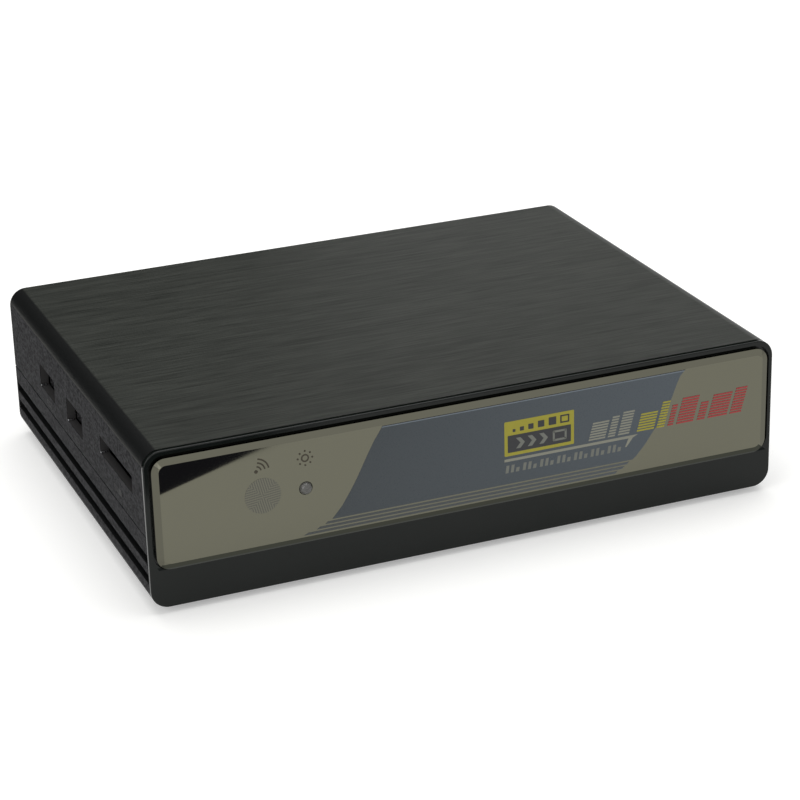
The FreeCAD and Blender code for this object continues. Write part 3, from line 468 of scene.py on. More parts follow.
class PrintInk(Enum):
    """Finishes of the prints, as strong as they look on the mirror."""

    # Thin inks over the mirror: blue-grey and grey, paler towards the right.
    BAND = Ink("grey_blue_ink", "#41474b", 0.3, 0.3, zones=(Zone("X", -35.0, 54.0, "#525a61"),))
    STRIPE = Ink("grey_stripe_ink", "#484c4d", 0.3, 0.3, zones=(Zone("X", -35.0, 54.0, "#555c63"),))
    # Dense screen inks: flat, even colours with a dull sheen.
    LIGHT_LINE = Ink("pale_blue_ink", "#737d86", 0.3, 0.4)
    YELLOW = Ink("yellow_ink", "#a39b2e", 0.35, 0.4)
    DARK = Ink("dark_ink", "#2b2c2f", 0.35, 0.4)
    PALE = Ink("pale_ink", "#74766f", 0.35, 0.4)
    WHITE = Ink("white_ink", "#8d8d80", 0.35, 0.4)
    RED = Ink("red_ink", "#a23232", 0.35, 0.4)
    BROWN = Ink("dark_brown_ink", "#3a3426", 0.35, 0.4)
    # White ink on steel: bright and matt.
    PANEL_WHITE = Ink("panel_white_ink", "#c9c9c4", 0.4, 0.4)
    # Marks moulded in the cover's ABS: black on black, seen by their edges.
    RELIEF = Ink("raised_abs_mark", "#0e0e0f", 0.6, 0.3)
    # Metal layer with tiny holes: the mirror's shade, lined.
    WINDOW = PerforatedMirror("perforated_mirror", "#65645a", 0.05, 0.5, "#52524c")


class Slot(Enum):
    """Finishes by the record's material slots, which have these names in small letters."""

    # Moulded ABS: soft dark streaks on top and dull stone at the sides.
    COVER_PLASTIC = Hairline("black_abs_hairline", "#242623", 0.4, 0.15, "#3d3f3b", depth=0.05)
    # ABS from a polished mould: deep black with a clear, weak reflection.
    BEZEL_PLASTIC = Moulded("gloss_black_abs", "#0d120f", 0.12, 0.23, "#111513", 9.0,
                            depth=0.001, spread=(-0.03, 0.03))
    # Mirror acrylic: a sharp, warm grey image of the room.
    MIRROR_ACRYLIC = MirrorSheet("tinted_mirror_acrylic", "#656458", 0.02)
    # Foam tape, cut from sheet: dull off-white.
    ADHESIVE = Moulded("adhesive_sheet", "#d8d8d2", 0.6, 0.3, "#c9c9c2", 4.0, 0.5)
    # Dyed cast acrylic: glossy, nearly black, with a red cast.
    FILTER_ACRYLIC = Moulded("dark_red_acrylic", "#1c0b10", 0.12, 0.5, "#220d12", 8.0, 3.0, depth=0.002)
    # Baked powder coat on steel: dull black with a fine orange peel.
    PANEL_STEEL = Moulded("black_powder_coat", "#1d1e1f", 0.5, 0.4, "#242526", 5.0, depth=0.03)
    # Moulded rubber: dead matt, dusty black.
    RUBBER = Moulded("black_rubber", "#161616", 0.8, 0.3, "#1e1e1d", 3.0, 0.25, depth=0.02)
    # Turned steel with zinc plating: cold, bright grey.
    ZINC_STEEL = Rolled("zinc_plated_steel", "#b3b4b8", 0.25, 0.5, "#9a9a9f", (0.5, 0.5, 4.0))
    # Glass epoxy with solder mask: glossy deep green.
    BOARD = Circuit("green_circuit_board", "#0b3d24", 0.3, 0.5, "#1c6a3a", depth=0.03)
    # Moulded epoxy of the chips: satin charcoal.
    CHIP_EPOXY = Moulded("moulded_epoxy", "#18181a", 0.5, 0.4, "#202022", 2.0, 0.2)
    # Cast clear epoxy: a bright rim and a grey middle.
    CLEAR_EPOXY = ClearEpoxy("clear_lamp_epoxy", "#5a5a57", 0.2, 0.5, "#6f6e6a")
    # Moulded nylon: black with a soft sheen.
    BLACK_NYLON = Moulded("black_nylon", "#141415", 0.5, 0.4, "#1b1b1c", depth=0.015)
    # Filled silicone sheet: chalky blue-grey.
    PAD = Moulded("silicone_pad", "#7f8da3", 0.7, 0.3, "#8b98ab", 2.0, depth=0.02)
    # Extruded aluminium, anodised: dark satin metal with lines along the fins.
    SINK_ALUMINIUM = Rolled("black_anodised_aluminium", "#3c3c40", 0.4, 0.5, "#303034", (0.4, 8.0, 0.4))
    # Pressed and sintered ferrite: matt grey, like slate.
    FERRITE = Moulded("ferrite", "#39393a", 0.7, 0.3, "#444446", 1.5, 0.15, depth=0.03)
    # Drawn aluminium: bright, with upright streaks.
    CAN_ALUMINIUM = Rolled("aluminium_can", "#c6c7ca", 0.22, 0.5, "#b2b3b7", (0.4, 0.4, 4.0))
    # Pressed steel with nickel plating: bright, with a warm cast.
    CRYSTAL_CAN = Rolled("nickel_can", "#b8b8ba", 0.2, 0.5, "#a5a5a8", (3.0, 0.4, 0.4))
    # Rolled and folded steel with nickel plating: grey shine, streaked.
    SOCKET_SHELL = Rolled("nickel_plated_steel", "#98989a", 0.28, 0.5, "#838386", (4.0, 0.5, 0.5))
    # Heat-proof plastic, moulded: plain dull black.
    SOCKET_PLASTIC = Moulded("black_socket_plastic", "#111112", 0.45, 0.4, "#18181a", 2.0, 0.2)
    # Rolled brass with gold plating: warm yellow shine.
    CONTACT_BRASS = Rolled("gold_plated_brass", "#c8a45a", 0.2, 0.5, "#b8934a", (0.3, 2.0, 0.3))
    # Dyed plastics, moulded: even, clear colours with a soft gloss.
    DSUB_BLUE = Moulded("blue_insert_plastic", "#1d3f94", 0.45, 0.4, "#234a9f", 3.0, 0.25)
    GREEN_PLASTIC = Moulded("green_jack_plastic", "#128a3c", 0.4, 0.4, "#169546")
    BLUE_PLASTIC = Moulded("blue_jack_plastic", "#1c53b0", 0.4, 0.4, "#225cba")
    RED_PLASTIC = Moulded("red_jack_plastic", "#b3191c", 0.4, 0.4, "#bd2023")
    YELLOW_PLASTIC = Moulded("yellow_jack_plastic", "#d9a712", 0.4, 0.4, "#e0b01c")
    WHITE_PLASTIC = Moulded("white_jack_plastic", "#dcdbd4", 0.4, 0.4, "#d2d1ca")
    # ABS from a satin mould: a shade lighter than the case.
    BUTTON_PLASTIC = Moulded("satin_black_button", "#232423", 0.35, 0.4, "#2a2b2a", 4.0, depth=0.006)


class Side(Enum):
    """Flat faces that carry prints: the axis each crosses, its place there, its way out and its turn."""

    PLATE = ("Y", PLATE_FACE_Y, -1.0, 0.0)
    PANEL = ("Y", PANEL_FACE_Y, 1.0, math.pi)
    RIGHT = ("X", CASE_HALF_WIDTH, 1.0, math.pi / 2)
    LEFT = ("X", -CASE_HALF_WIDTH, -1.0, -math.pi / 2)

    def spot(self, along: float, up: float, lift: float = 0.0) -> Vector:
        """Gives a point on the face, in metres.

        Args:
            along: Millimetres along the face, on X or Y.
            up: Height in millimetres.
            lift: Distance in front of the face in millimetres.

        Returns:
            The point.
        """
        axis, place, way, _ = self.value
        deep = place + way * lift
        return Vector((along, deep, up) if axis == "Y" else (deep, along, up)) * MM

    def step(self, along: float, up: float) -> Vector:
        """Gives a step along the face in metres, from one in millimetres."""
        return self.spot(along, up) - self.spot(0.0, 0.0)

    def scale(self, along: float, up: float) -> Triple:
        """Gives the three scale factors of a stretch along the face."""
        return (along, 1.0, up) if self.value[0] == "Y" else (1.0, along, up)

    def turn(self) -> Triple:
        """Gives the turn that makes a flat primitive look out of the face."""
        return (math.pi / 2, 0.0, self.value[3])


def settle(made: Piece, name: str, look: Slot | PrintInk) -> None:
    """Puts a finished piece's place into its mesh, dresses it and lets it ride on the case.

    Args:
        made: The piece.
        name: Its name.
        look: Its finish.
    """
    bpy.ops.object.select_all(action="DESELECT")
    made.select_set(True)
    bpy.context.view_layer.objects.active = made
    bpy.ops.object.transform_apply(location=True, rotation=True, scale=True)
    made.name = made.data.name = name
    made.data.materials.append(look.value.material())
    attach(made, "case")
    LOG.info("made %s", name)


def apply(made: Piece, kind: str, **settings: object) -> None:
    """Adds a modifier and applies it.

    Args:
        made: The piece.
        kind: Type of the modifier.
        settings: Its properties.
    """
    bpy.context.view_layer.objects.active = made
    modifier = made.modifiers.new(kind.lower(), kind)
    for name, value in settings.items():
        setattr(modifier, name, value)
    bpy.ops.object.modifier_apply(modifier=modifier.name)


def repeat(made: Piece, count: int, step: Vector) -> None:
    """Sets copies of a piece in a row, with a count and a step in metres."""
    apply(made, "ARRAY", count=count, use_relative_offset=False, use_constant_offset=True,
          constant_offset_displace=step)


def pick(made: Piece, test: Callable[[bmesh.types.BMVert], bool]) -> None:
    """Selects the corners of the mesh in edit mode that pass a test, with what lies between them.

    Args:
        made: The piece in edit mode.
        test: Says whether a corner is taken.
    """
    mesh = bmesh.from_edit_mesh(made.data)
    for part in (*mesh.faces, *mesh.edges):
        part.select_set(False)
    for corner in mesh.verts:
        corner.select_set(test(corner))
    mesh.select_flush(True)
    bmesh.update_edit_mesh(made.data)


class Print:
    """Flat printed shapes on one face, drawn in millimetres and given the ink's thickness at the end."""

    def __init__(self, side: Side, layer: int = 0) -> None:
        """Opens an empty mesh in edit mode.

        Args:
            side: Face that is printed.
            layer: Number of ink layers below this one.
        """
        bpy.ops.object.select_all(action="DESELECT")
        bpy.ops.mesh.primitive_plane_add(size=MM)
        self.made = bpy.context.object
        self.side = side
        self.lift = layer * FILM
        self.middle = (0.0, 0.0)
        bpy.context.tool_settings.mesh_select_mode = (True, False, False)
        bpy.ops.object.mode_set(mode="EDIT")
        bpy.ops.mesh.delete(type="VERT")

    def at(self, along: float, up: float) -> "Print":
        """Measures what follows from a point along the face and up."""
        self.middle = (along, up)
        return self

    def spot(self, along: float, up: float) -> Vector:
        """Gives a point of this layer in metres, from one in millimetres from the middle."""
        return self.side.spot(self.middle[0] + along, self.middle[1] + up, self.lift)

    def oblong(self, left: float, right: float, low: float, high: float) -> Vector:
        """Draws a plain rectangle.

        Args:
            left, right, low, high: Its edges.

        Returns:
            The point in its middle.
        """
        start = self.spot((left + right) / 2, (low + high) / 2)
        bpy.ops.mesh.primitive_plane_add(size=MM, location=start, rotation=self.side.turn())
        bpy.ops.transform.resize(value=self.side.scale(right - left, high - low), center_override=start)
        return start

    def strips(self, *shapes: Rows) -> "Print":
        """Draws shapes of level rows, extruded from each to the next.

        Args:
            shapes: Height, left end and right end of each row of a shape, from the bottom up.

        Returns:
            The print.
        """
        for rows in shapes:
            low, left, right = rows[0]
            middle, width = (left + right) / 2, right - left
            start = self.oblong(left, right, low, rows[1][0])
            drawn = bmesh.from_edit_mesh(self.made.data)
            upper = {v.index for v in drawn.verts if v.select and v.co.z > start.z}
            pick(self.made, lambda corner: corner.index in upper)
            for number, (up, left, right) in enumerate(rows[1:]):
                shift = (left + right) / 2 - middle
                if number:
                    move = {"value": self.side.step(shift, up - low)}
                    bpy.ops.mesh.extrude_region_move(TRANSFORM_OT_translate=move)
                else:
                    bpy.ops.transform.translate(value=self.side.step(shift, 0.0))
                middle += shift
                bpy.ops.transform.resize(value=self.side.scale((right - left) / width, 1.0),
                                         center_override=self.spot(middle, up))
                low, width = up, right - left
        return self

    def rounded(self, *box: float) -> "Print":
        """Draws a rectangle with round corners, full or as a frame.

        Args:
            box: Left, right, lower and upper edge, corner radius and, for a frame, its width.

        Returns:
            The print.
        """
        self.oblong(*box[:4])
        bpy.ops.mesh.bevel(offset=box[4] * MM, segments=5, affect="VERTICES")
        return self.hollow(*box[5:])

    def disc(self, radius: float, width: float = 0.0) -> "Print":
        """Draws a disc round the middle, or a ring of the given width."""
        bpy.ops.mesh.primitive_circle_add(vertices=40, radius=radius * MM, fill_type="NGON",
                                          location=self.spot(0.0, 0.0), rotation=self.side.turn())
        return self.hollow(width)

    def hollow(self, width: float = 0.0) -> "Print":
        """Cuts out the inside of the shape just drawn.

        Args:
            width: Width that is left along its edge, or 0 to leave it full.

        Returns:
            The print.
        """
        if width:
            bpy.ops.mesh.inset(thickness=width * MM)
            bpy.ops.mesh.delete(type="FACE")
        return self

    def arc(self, radius: float, width: float, start: float, end: float) -> "Print":
        """Draws part of a ring round the middle, cut off along two of its radii.

        Args:
            radius: Outer radius.
            width: Width of the ring.
            start: Where it starts, in degrees from the right.
            end: Where it ends, less than half a turn on.

        Returns:
            The print.
        """
        bpy.ops.mesh.select_all(action="SELECT")
        bpy.ops.mesh.hide(unselected=False)
        self.disc(radius, width)
        middle = self.spot(0.0, 0.0)
        for angle, way in ((start, 1.0), (end, -1.0)):
            bpy.ops.mesh.select_all(action="SELECT")
            turned = math.radians(angle)
            cut = self.side.step(-math.sin(turned), math.cos(turned)) * way / MM
            bpy.ops.mesh.bisect(plane_co=middle, plane_no=cut, clear_inner=True)
        bpy.ops.mesh.reveal(select=False)
        return self

    def done(self, name: str, ink: PrintInk, *repeats: Triple) -> None:
        """Closes the mesh: faces look outwards, copies stand in rows and the ink gets its thickness.

        Args:
            name: Name of the piece.
            ink: Its ink.
            repeats: Count, step along and step up of each row of copies.
        """
        out = self.side.spot(0.0, 0.0, 1.0) - self.side.spot(0.0, 0.0)
        mesh = bmesh.from_edit_mesh(self.made.data)
        for face in mesh.faces:
            face.select_set(face.normal.dot(out) < 0)
        bmesh.update_edit_mesh(self.made.data)
        bpy.ops.mesh.flip_normals()
        bpy.ops.object.mode_set(mode="OBJECT")
        for count, along, up in repeats:
            repeat(self.made, count, self.side.step(along, up))
        apply(self.made, "SOLIDIFY", thickness=FILM * MM, offset=1.0)
        settle(self.made, name, ink)


@dataclass
class PlatePrints:
    """Screen prints on the faceplate: a slanted band, stripes, a badge, level bars and two signs.

    A row is a height, a left end and a right end. A box is a left, right, lower and upper edge,
    a corner radius and, for a frame, its width. Ticks are a count and a step along and up.
    """

    band_rows: Rows = (
        (15.4, -34.7, 39.9), (16.2, -34.0, 40.9), (18.1, -32.3, 42.6), (18.7, -31.9, 43.15),
        (21.3, -30.2, 45.0), (24.0, -28.6, 47.1), (26.5, -27.3, 48.75), (29.2, -25.9, 50.0),
        (32.3, -24.2, 51.2), (34.2, -22.9, 52.1), (35.5, -22.1, 53.4))
    light_rows: Rows = ((35.1, -22.3, 53.0), (35.35, -22.15, 53.2))
    # The dark line at the band's top, where the bevel starts, is painted shade.
    edge_rows: Rows = ((35.36, -22.15, 53.2), (35.5, -22.1, 53.35))
    stripes: Shapes = (
        ((14.48, -36.4, 38.45), (15.03, -35.8, 39.0)), ((13.58, -38.5, 37.25), (14.13, -37.6, 37.8)),
        ((12.7, -41.6, 35.48), (13.22, -40.4, 36.0)))
    badge_box: Numbers = (7.35, 24.8, 22.3, 30.75, 0.25)
    field_box: Numbers = (8.15, 24.0, 23.1, 27.3, 0.15)
    arrow_lefts: Numbers = (10.2, 13.1, 16.0)
    arrow_rows: Rows = ((23.9, 0.0, 1.1), (25.2, 1.1, 2.2), (26.5, 0.0, 1.1))
    screen_box: Numbers = (19.4, 22.9, 23.9, 26.5, 0.2, 0.5)
    squares: Rows = ((9.4, 0.7), (11.2, 1.0), (13.3, 1.3), (15.7, 1.6), (18.4, 1.9))
    squares_z: float = 28.05
    last_square: Numbers = (21.3, 23.6, 28.05, 30.0, 0.15, 0.35)
    bar_low: float = 22.2
    bar_line: float = 0.4
    bar_pitch: float = 0.65
    bar_slant: float = 0.27
    bars: tuple[tuple[PrintInk, Rows], ...] = (
        (PrintInk.WHITE, ((28.5, 4.2, 7), (33.4, 1.8, 8), (36.0, 2.9, 9))),
        (PrintInk.YELLOW, ((40.9, 4.4, 7), (46.0, 2.0, 10))),
        (PrintInk.RED, ((48.9, 1.4, 8), (51.2, 4.4, 10), (56.6, 2.0, 7), (59.5, 5.0, 9), (65.3, 3.0, 10))))
    line_shapes: Shapes = (
        ((20.95, 7.3, 39.9), (21.6, 7.3, 41.2)), ((18.9, 37.9, 38.3), (20.93, 38.8, 39.9)))
    tall_tick: Rows = ((18.15, 7.5, 8.25), (20.0, 7.8, 8.55))
    short_tick: Rows = ((18.15, 10.1, 10.9), (19.2, 10.3, 11.1))
    tick_pair: Triple = (2, 1.3, 0.0)
    ticks: Triple = (7, 4.3, 0.0)
    wave_middle: Pair = (RECEIVER_X - 1.3, 30.2)
    wave_radii: Numbers = (1.35, 2.25, 3.15)
    wave_line: Triple = (0.36, 8.0, 82.0)
    wave_dot: float = 0.42
    sun_middle: Pair = (LAMP_X + 0.1, 31.3)
    sun_ring: Pair = (0.95, 0.34)
    rays: int = 8
    ray_reach: float = 1.7
    ray_radius: float = 0.24
    window_middle: Pair = (RECEIVER_X, EYE_Z + 0.15)
    window_radius: float = 4.2

    def band(self) -> None:
        """Draws the wide band, a light line and a dark line of painted shade along its top, and three
        stripes.
        """
        Print(Side.PLATE).strips(self.band_rows).done("print_band", PrintInk.BAND)
        Print(Side.PLATE, 1).strips(self.light_rows).done("print_band_light", PrintInk.LIGHT_LINE)
        Print(Side.PLATE, 1).strips(self.edge_rows).done("print_band_edge_shade", PrintInk.DARK)
        Print(Side.PLATE).strips(*self.stripes).done("print_stripes", PrintInk.STRIPE)

    def badge(self) -> None:
        """Draws the badge: a yellow tablet, a dark field with arrow heads and squares that grow."""
        Print(Side.PLATE, 1).rounded(*self.badge_box).done("print_badge", PrintInk.YELLOW)
        Print(Side.PLATE, 2).rounded(*self.field_box).done("print_badge_field", PrintInk.DARK)
        marks = Print(Side.PLATE, 3)
        for left in self.arrow_lefts:
            marks.at(left, 0.0).strips(self.arrow_rows)
        marks.at(0.0, 0.0).rounded(*self.screen_box).done("print_badge_marks", PrintInk.PALE)
        squares = Print(Side.PLATE, 2)
        for left, size in self.squares:
            squares.rounded(left, left + size, self.squares_z, self.squares_z + size, 0.1)
        squares.rounded(*self.last_square).done("print_badge_squares", PrintInk.DARK)

    def levels(self) -> None:
        """Draws the slanted level bars, each from one short line repeated upwards."""
        lean = self.bar_line * self.bar_slant
        for ink, bars in self.bars:
            for number, (left, width, lines) in enumerate(bars, 1):
                drawn = Print(Side.PLATE, 1).at(left, self.bar_low)
                drawn.strips(((0.0, 0.0, width), (self.bar_line, lean, width + lean)))
                drawn.done(f"print_bar_{ink.name.lower()}_{number}", ink,
                           (lines, self.bar_pitch * self.bar_slant, self.bar_pitch))

    def underline(self) -> None:
        """Draws the line under the badge with its slanted tail, and the row of ticks below it."""
        Print(Side.PLATE, 1).strips(*self.line_shapes).done("print_underline", PrintInk.WHITE)
        Print(Side.PLATE, 1).strips(self.tall_tick).done(
            "print_ticks_tall", PrintInk.PALE, self.tick_pair, self.ticks)
        Print(Side.PLATE, 1).strips(self.short_tick).done("print_ticks_short", PrintInk.PALE, self.ticks)

    def signs(self) -> None:
        """Draws the remote sign over the receiver, the lamp sign and the receiver's perforated window."""
        waves = Print(Side.PLATE).at(*self.wave_middle).disc(self.wave_dot)
        for radius in self.wave_radii:
            waves.arc(radius, *self.wave_line)
        waves.done("print_remote_sign", PrintInk.BROWN)
        along, up = self.sun_middle
        sun = Print(Side.PLATE).at(along, up).disc(*self.sun_ring)
        for number in range(self.rays):
            ray = Vector((self.ray_reach, 0.0))
            ray.rotate(Matrix.Rotation(math.tau * number / self.rays, 2))
            sun.at(along + ray.x, up + ray.y).disc(self.ray_radius)
        sun.done("print_lamp_sign", PrintInk.BROWN)
        window = Print(Side.PLATE).at(*self.window_middle).disc(self.window_radius)
        window.done("receiver_window", PrintInk.WINDOW)

    def build(self) -> None:
        """Prints the whole plate."""
        self.band()
        self.badge()
        self.levels()
        self.underline()
        self.signs()


@dataclass
class PanelPrints:
    """White signs on the rear panel: arrows for signals out and in, and signs for power and its inlet.

    An arrow is its place along the panel and half its width at the foot and at the head. An arc
    is its radius and width, and its start and end in degrees.
    """

    arrows: Rows = ((39.63, 1.3, 0.05), (20.6, 0.05, 1.3), (-6.33, 0.05, 1.3), (-28.97, 0.05, 1.3),
                    (-54.3, 0.05, 1.3))
    arrow_z: float = 33.2
    arrow_height: float = 1.6
    arrow_line: Rows = ((-0.8, -1.3, 1.3), (-0.4, -1.3, 1.3))
    power_middle: Pair = (68.3, 33.8)
    power_arcs: Rows = ((1.25, 0.32, 130.0, 270.0), (1.25, 0.32, 269.0, 410.0))
    power_stroke: Rows = ((0.1, -0.16, 0.16), (1.5, -0.16, 0.16))
    inlet_middle: Pair = (55.67, 33.6)
    inlet_ring: Pair = (1.3, 0.32)
    inlet_dot: float = 0.45

    def build(self) -> None:
        """Prints the panel."""
        drawn = Print(Side.PANEL)
        for along, foot, head in self.arrows:
            drawn.at(along, self.arrow_z).strips(
                ((0.0, -foot, foot), (self.arrow_height, -head, head)), self.arrow_line)
        drawn.at(*self.power_middle)
        for arc in self.power_arcs:
            drawn.arc(*arc)
        drawn.strips(self.power_stroke)
        drawn.at(*self.inlet_middle).disc(*self.inlet_ring).disc(self.inlet_dot)
        drawn.done("print_panel_signs", PrintInk.PANEL_WHITE)


@dataclass
class KeyPrints:
    """Signs over the two keys in the right side."""

    source_middle: Pair = (-7.5, 31.3)
    source_frame: Numbers = (-0.4, 2.0, -1.1, 1.1, 0.2, 0.28)
    arrow: Shapes = (
        ((-0.14, -2.0, -0.9), (0.14, -2.0, -0.9)),
        ((-0.7, -1.3, -1.2), (0.0, -0.9, -0.4), (0.7, -1.3, -1.2)))
    scale_middle: Pair = (6.5, 31.3)
    scale_frames: Rows = ((-1.9, 1.9, -1.1, 1.1, 0.2, 0.28), (-0.9, 0.9, -0.5, 0.5, 0.15, 0.24))

    def build(self) -> None:
        """Prints an arrow into a frame for the source, and a frame in a frame for the scale."""
        source = Print(Side.RIGHT).at(*self.source_middle).rounded(*self.source_frame)
        source.strips(*self.arrow).done("print_source_sign", PrintInk.PANEL_WHITE)
        scale = Print(Side.RIGHT).at(*self.scale_middle)
        for frame in self.scale_frames:
            scale.rounded(*frame)
        scale.done("print_scale_sign", PrintInk.PANEL_WHITE)


@dataclass
class SlotMarks:
    """Small raised marks in the cover's own plastic under the three slots of the left side."""

    card_middle: Pair = (-38.2, 21.7)
    card_shapes: Shapes = (
        ((-0.8, -2.8, -0.4), (0.3, -2.8, -0.4), (0.8, -2.3, -0.4)),
        ((-0.8, 0.3, 0.8), (0.8, 0.3, 0.8)), ((-0.8, 1.2, 1.7), (0.8, 1.2, 1.7)),
        ((-0.8, 2.1, 2.6), (0.8, 2.1, 2.6)))
    data_middles: Rows = ((-4.2, 20.6), (20.1, 20.6))
    plug_frame: Numbers = (-2.4, 0.4, -0.7, 0.7, 0.1, 0.3)
    plug_shapes: Shapes = (
        ((-0.5, 0.9, 2.2), (-0.1, 0.9, 2.2)), ((0.2, 0.9, 2.2), (0.6, 0.9, 2.2)))

    def build(self) -> None:
        """Draws a card with a cut corner, and a plug with two contacts for each data slot."""
        card = Print(Side.LEFT).at(*self.card_middle)
        card.strips(*self.card_shapes).done("card_mark", PrintInk.RELIEF)
        for number, middle in enumerate(self.data_middles, 1):
            plug = Print(Side.LEFT).at(*middle).rounded(*self.plug_frame)
            plug.strips(*self.plug_shapes).done(f"data_mark_{number}", PrintInk.RELIEF)


@dataclass(frozen=True)
class Bar:
    """A thin straight bar with broken edges, in millimetres."""

    low: Triple
    high: Triple
    edge: float

    def make(self, spot: Vector) -> Piece:
        """Makes one bar.

        Args:
            spot: Point that its corners are measured from, in metres.

        Returns:
            The piece.
        """
        low, high = Vector(self.low), Vector(self.high)
        middle = spot + (low + high) / 2 * MM
        bpy.ops.mesh.primitive_cube_add(size=MM, location=middle)
        made = bpy.context.object
        bpy.ops.object.mode_set(mode="EDIT")
        bpy.ops.transform.resize(value=high - low, center_override=middle)
        bpy.ops.mesh.bevel(offset=self.edge * MM, segments=2, affect="EDGES")
        bpy.ops.object.mode_set(mode="OBJECT")
        return made


@dataclass(frozen=True)
class Sleeve:
    """A thin round sleeve along Y, in millimetres."""

    radius: float
    wall: float
    length: float

    def make(self, spot: Vector) -> Piece:
        """Makes one sleeve.

        Args:
            spot: Its middle in metres.

        Returns:
            The piece.
        """
        bpy.ops.mesh.primitive_cylinder_add(
            vertices=20, radius=self.radius * MM, depth=self.length * MM, end_fill_type="NOTHING",
            location=spot, rotation=(math.pi / 2, 0.0, 0.0))
        made = bpy.context.object
        apply(made, "SOLIDIFY", thickness=self.wall * MM, offset=-1.0)
        return made


@dataclass(frozen=True)
class Metalwork:
    """Small metal pieces of one form at one or more spots, each alone or in rows of a count and a step."""

    name: str
    form: Bar | Sleeve
    spots: Rows = ((0.0, 0.0, 0.0),)
    rows: Rows = ()
    finish: Slot = Slot.CONTACT_BRASS

    def build(self, number: int = 0) -> None:
        """Makes what stands at one spot, with a number after its name where there are several spots.

        Args:
            number: Number of the spot, from 0.
        """
        bpy.ops.object.select_all(action="DESELECT")
        made = self.form.make(Vector(self.spots[number]) * MM)
        for count, *step in self.rows:
            repeat(made, count, Vector(step) * MM)
        settle(made, f"{self.name}_{number + 1}" if len(self.spots) > 1 else self.name, self.finish)


@dataclass
class Contacts:
    """Contacts and springs inside the sockets, too thin for the frame's solids, and painted glint strips.
    """

    data_spots: Rows = ((0.0, -3.45, 0.0), (0.0, 20.85, 0.0))
    video_spots: Rows = ((39.63, 0.0, 0.0), (20.6, 0.0, 0.0))
    groups: tuple[tuple[Metalwork, ...], ...] = (
        (Metalwork("data_contacts", Bar((-73.4, -3.9, 25.79), (-66.5, -2.8, 25.95), 0.02),
                   data_spots, ((4, 0.0, 2.23, 0.0),)),
         Metalwork("data_springs", Bar((-73.2, -3.6, 23.09), (-68.2, -2.0, 23.29), 0.05),
                   data_spots, ((2, 0.0, 5.6, 0.0),), Slot.SOCKET_SHELL)),
        (Metalwork("card_contacts", Bar((-62.0, -48.2, 29.1), (-52.0, -47.3, 29.45), 0.03),
                   rows=((9, 0.0, 2.5, 0.0),)),),
        # Bright aluminium strips at the lower rear corner of each slot: a painted glint.
        (Metalwork("slot_glint_strip", Bar((-77.0, -0.42, 0.05), (-75.7, -0.08, 0.4), 0.05),
                   ((0.0, -25.3, 25.625), (0.0, 3.17, 22.68), (0.0, 27.47, 22.68)),
                   finish=Slot.CAN_ALUMINIUM),),
        (Metalwork("video_contacts_upper", Bar((-4.72, 45.5, 27.5), (-4.28, 51.9, 27.6), 0.015),
                   video_spots, ((10, 1.0, 0.0, 0.0),)),
         Metalwork("video_contacts_lower", Bar((-4.22, 45.5, 26.2), (-3.78, 51.9, 26.3), 0.015),
                   video_spots, ((9, 1.0, 0.0, 0.0),))),
        (Metalwork("dsub_sockets", Sleeve(0.49, 0.14, 3.4),
                   ((-11.4825, 54.6, 21.62), (-10.3375, 54.6, 23.6), (-11.4825, 54.6, 25.58)),
                   ((5, 2.29, 0.0, 0.0),)),),
        (Metalwork("phono_contacts", Sleeve(1.64, 0.25, 5.0), ((-66.1, 57.5, 9.7),),
                   ((3, 11.8, 0.0, 0.0), (2, 0.0, 0.0, 14.8))),))

    def build(self) -> None:
        """Makes them all, spot by spot."""
        for group in self.groups:
            for number in range(len(group[0].spots)):
                for metalwork in group:
                    metalwork.build(number)


@dataclass
class LampFrame:
    """Lead frame inside the clear lamp: the cup that carries the die, and the post beside it."""

    cup_spot: Triple = (LAMP_X - 0.25, -59.6, EYE_Z)
    cup_radius: float = 0.62
    foot_radius: float = 0.3
    cup_depth: float = 0.7
    rim: float = 0.12
    hollow: float = 0.3
    post: Metalwork = Metalwork("lamp_post", Bar((0.55, -59.6, -0.2), (0.85, -57.0, 0.2), 0.05),
                                ((LAMP_X, 0.0, EYE_Z),), finish=Slot.CAN_ALUMINIUM)

    def build(self) -> None:
        """Makes the cup from a cone, and the post."""
        bpy.ops.object.select_all(action="DESELECT")
        bpy.ops.mesh.primitive_cone_add(
            vertices=24, radius1=self.cup_radius * MM, radius2=self.foot_radius * MM,
            depth=self.cup_depth * MM, location=Vector(self.cup_spot) * MM,
            rotation=(-math.pi / 2, 0.0, 0.0))
        cup = bpy.context.object
        bpy.ops.object.mode_set(mode="EDIT")
        front = min(v.co.z for v in bmesh.from_edit_mesh(cup.data).verts)
        pick(cup, lambda corner: corner.co.z < front + 1e-6)
        bpy.ops.mesh.inset(thickness=self.rim * MM)
        bpy.ops.transform.translate(value=(0.0, self.hollow * MM, 0.0))
        bpy.ops.object.mode_set(mode="OBJECT")
        settle(cup, "lamp_cup", Slot.CAN_ALUMINIUM)
        self.post.build()


def seen(on: Canvas) -> Node:
    """Gives 1 to the rays of the camera, gloss and glass and 0 to all others.

    Args:
        on: Canvas of the floor or the world.

    Returns:
        The node.
    """
    rays = on.add("LightPath").outputs
    either = on.add("MAXIMUM", rays["Is Camera Ray"], rays["Is Glossy Ray"])
    return on.add("MAXIMUM", either, rays["Is Transmission Ray"])


@dataclass(frozen=True)
class SoftBox:
    """A soft square lamp. Its place, what it points at and its side are in metres, its power in watts."""

    name: str
    spot: Triple
    aim: Triple
    size: float
    power: float

    def hang(self) -> None:
        """Hangs the lamp."""
        data = bpy.data.lights.new(self.name, "AREA")
        data.size = self.size
        data.energy = self.power
        made = bpy.data.objects.new(self.name, data)
        bpy.context.collection.objects.link(made)
        made.location = self.spot
        made.rotation_euler = (Vector(self.aim) - made.location).to_track_quat("-Z", "Y").to_euler()


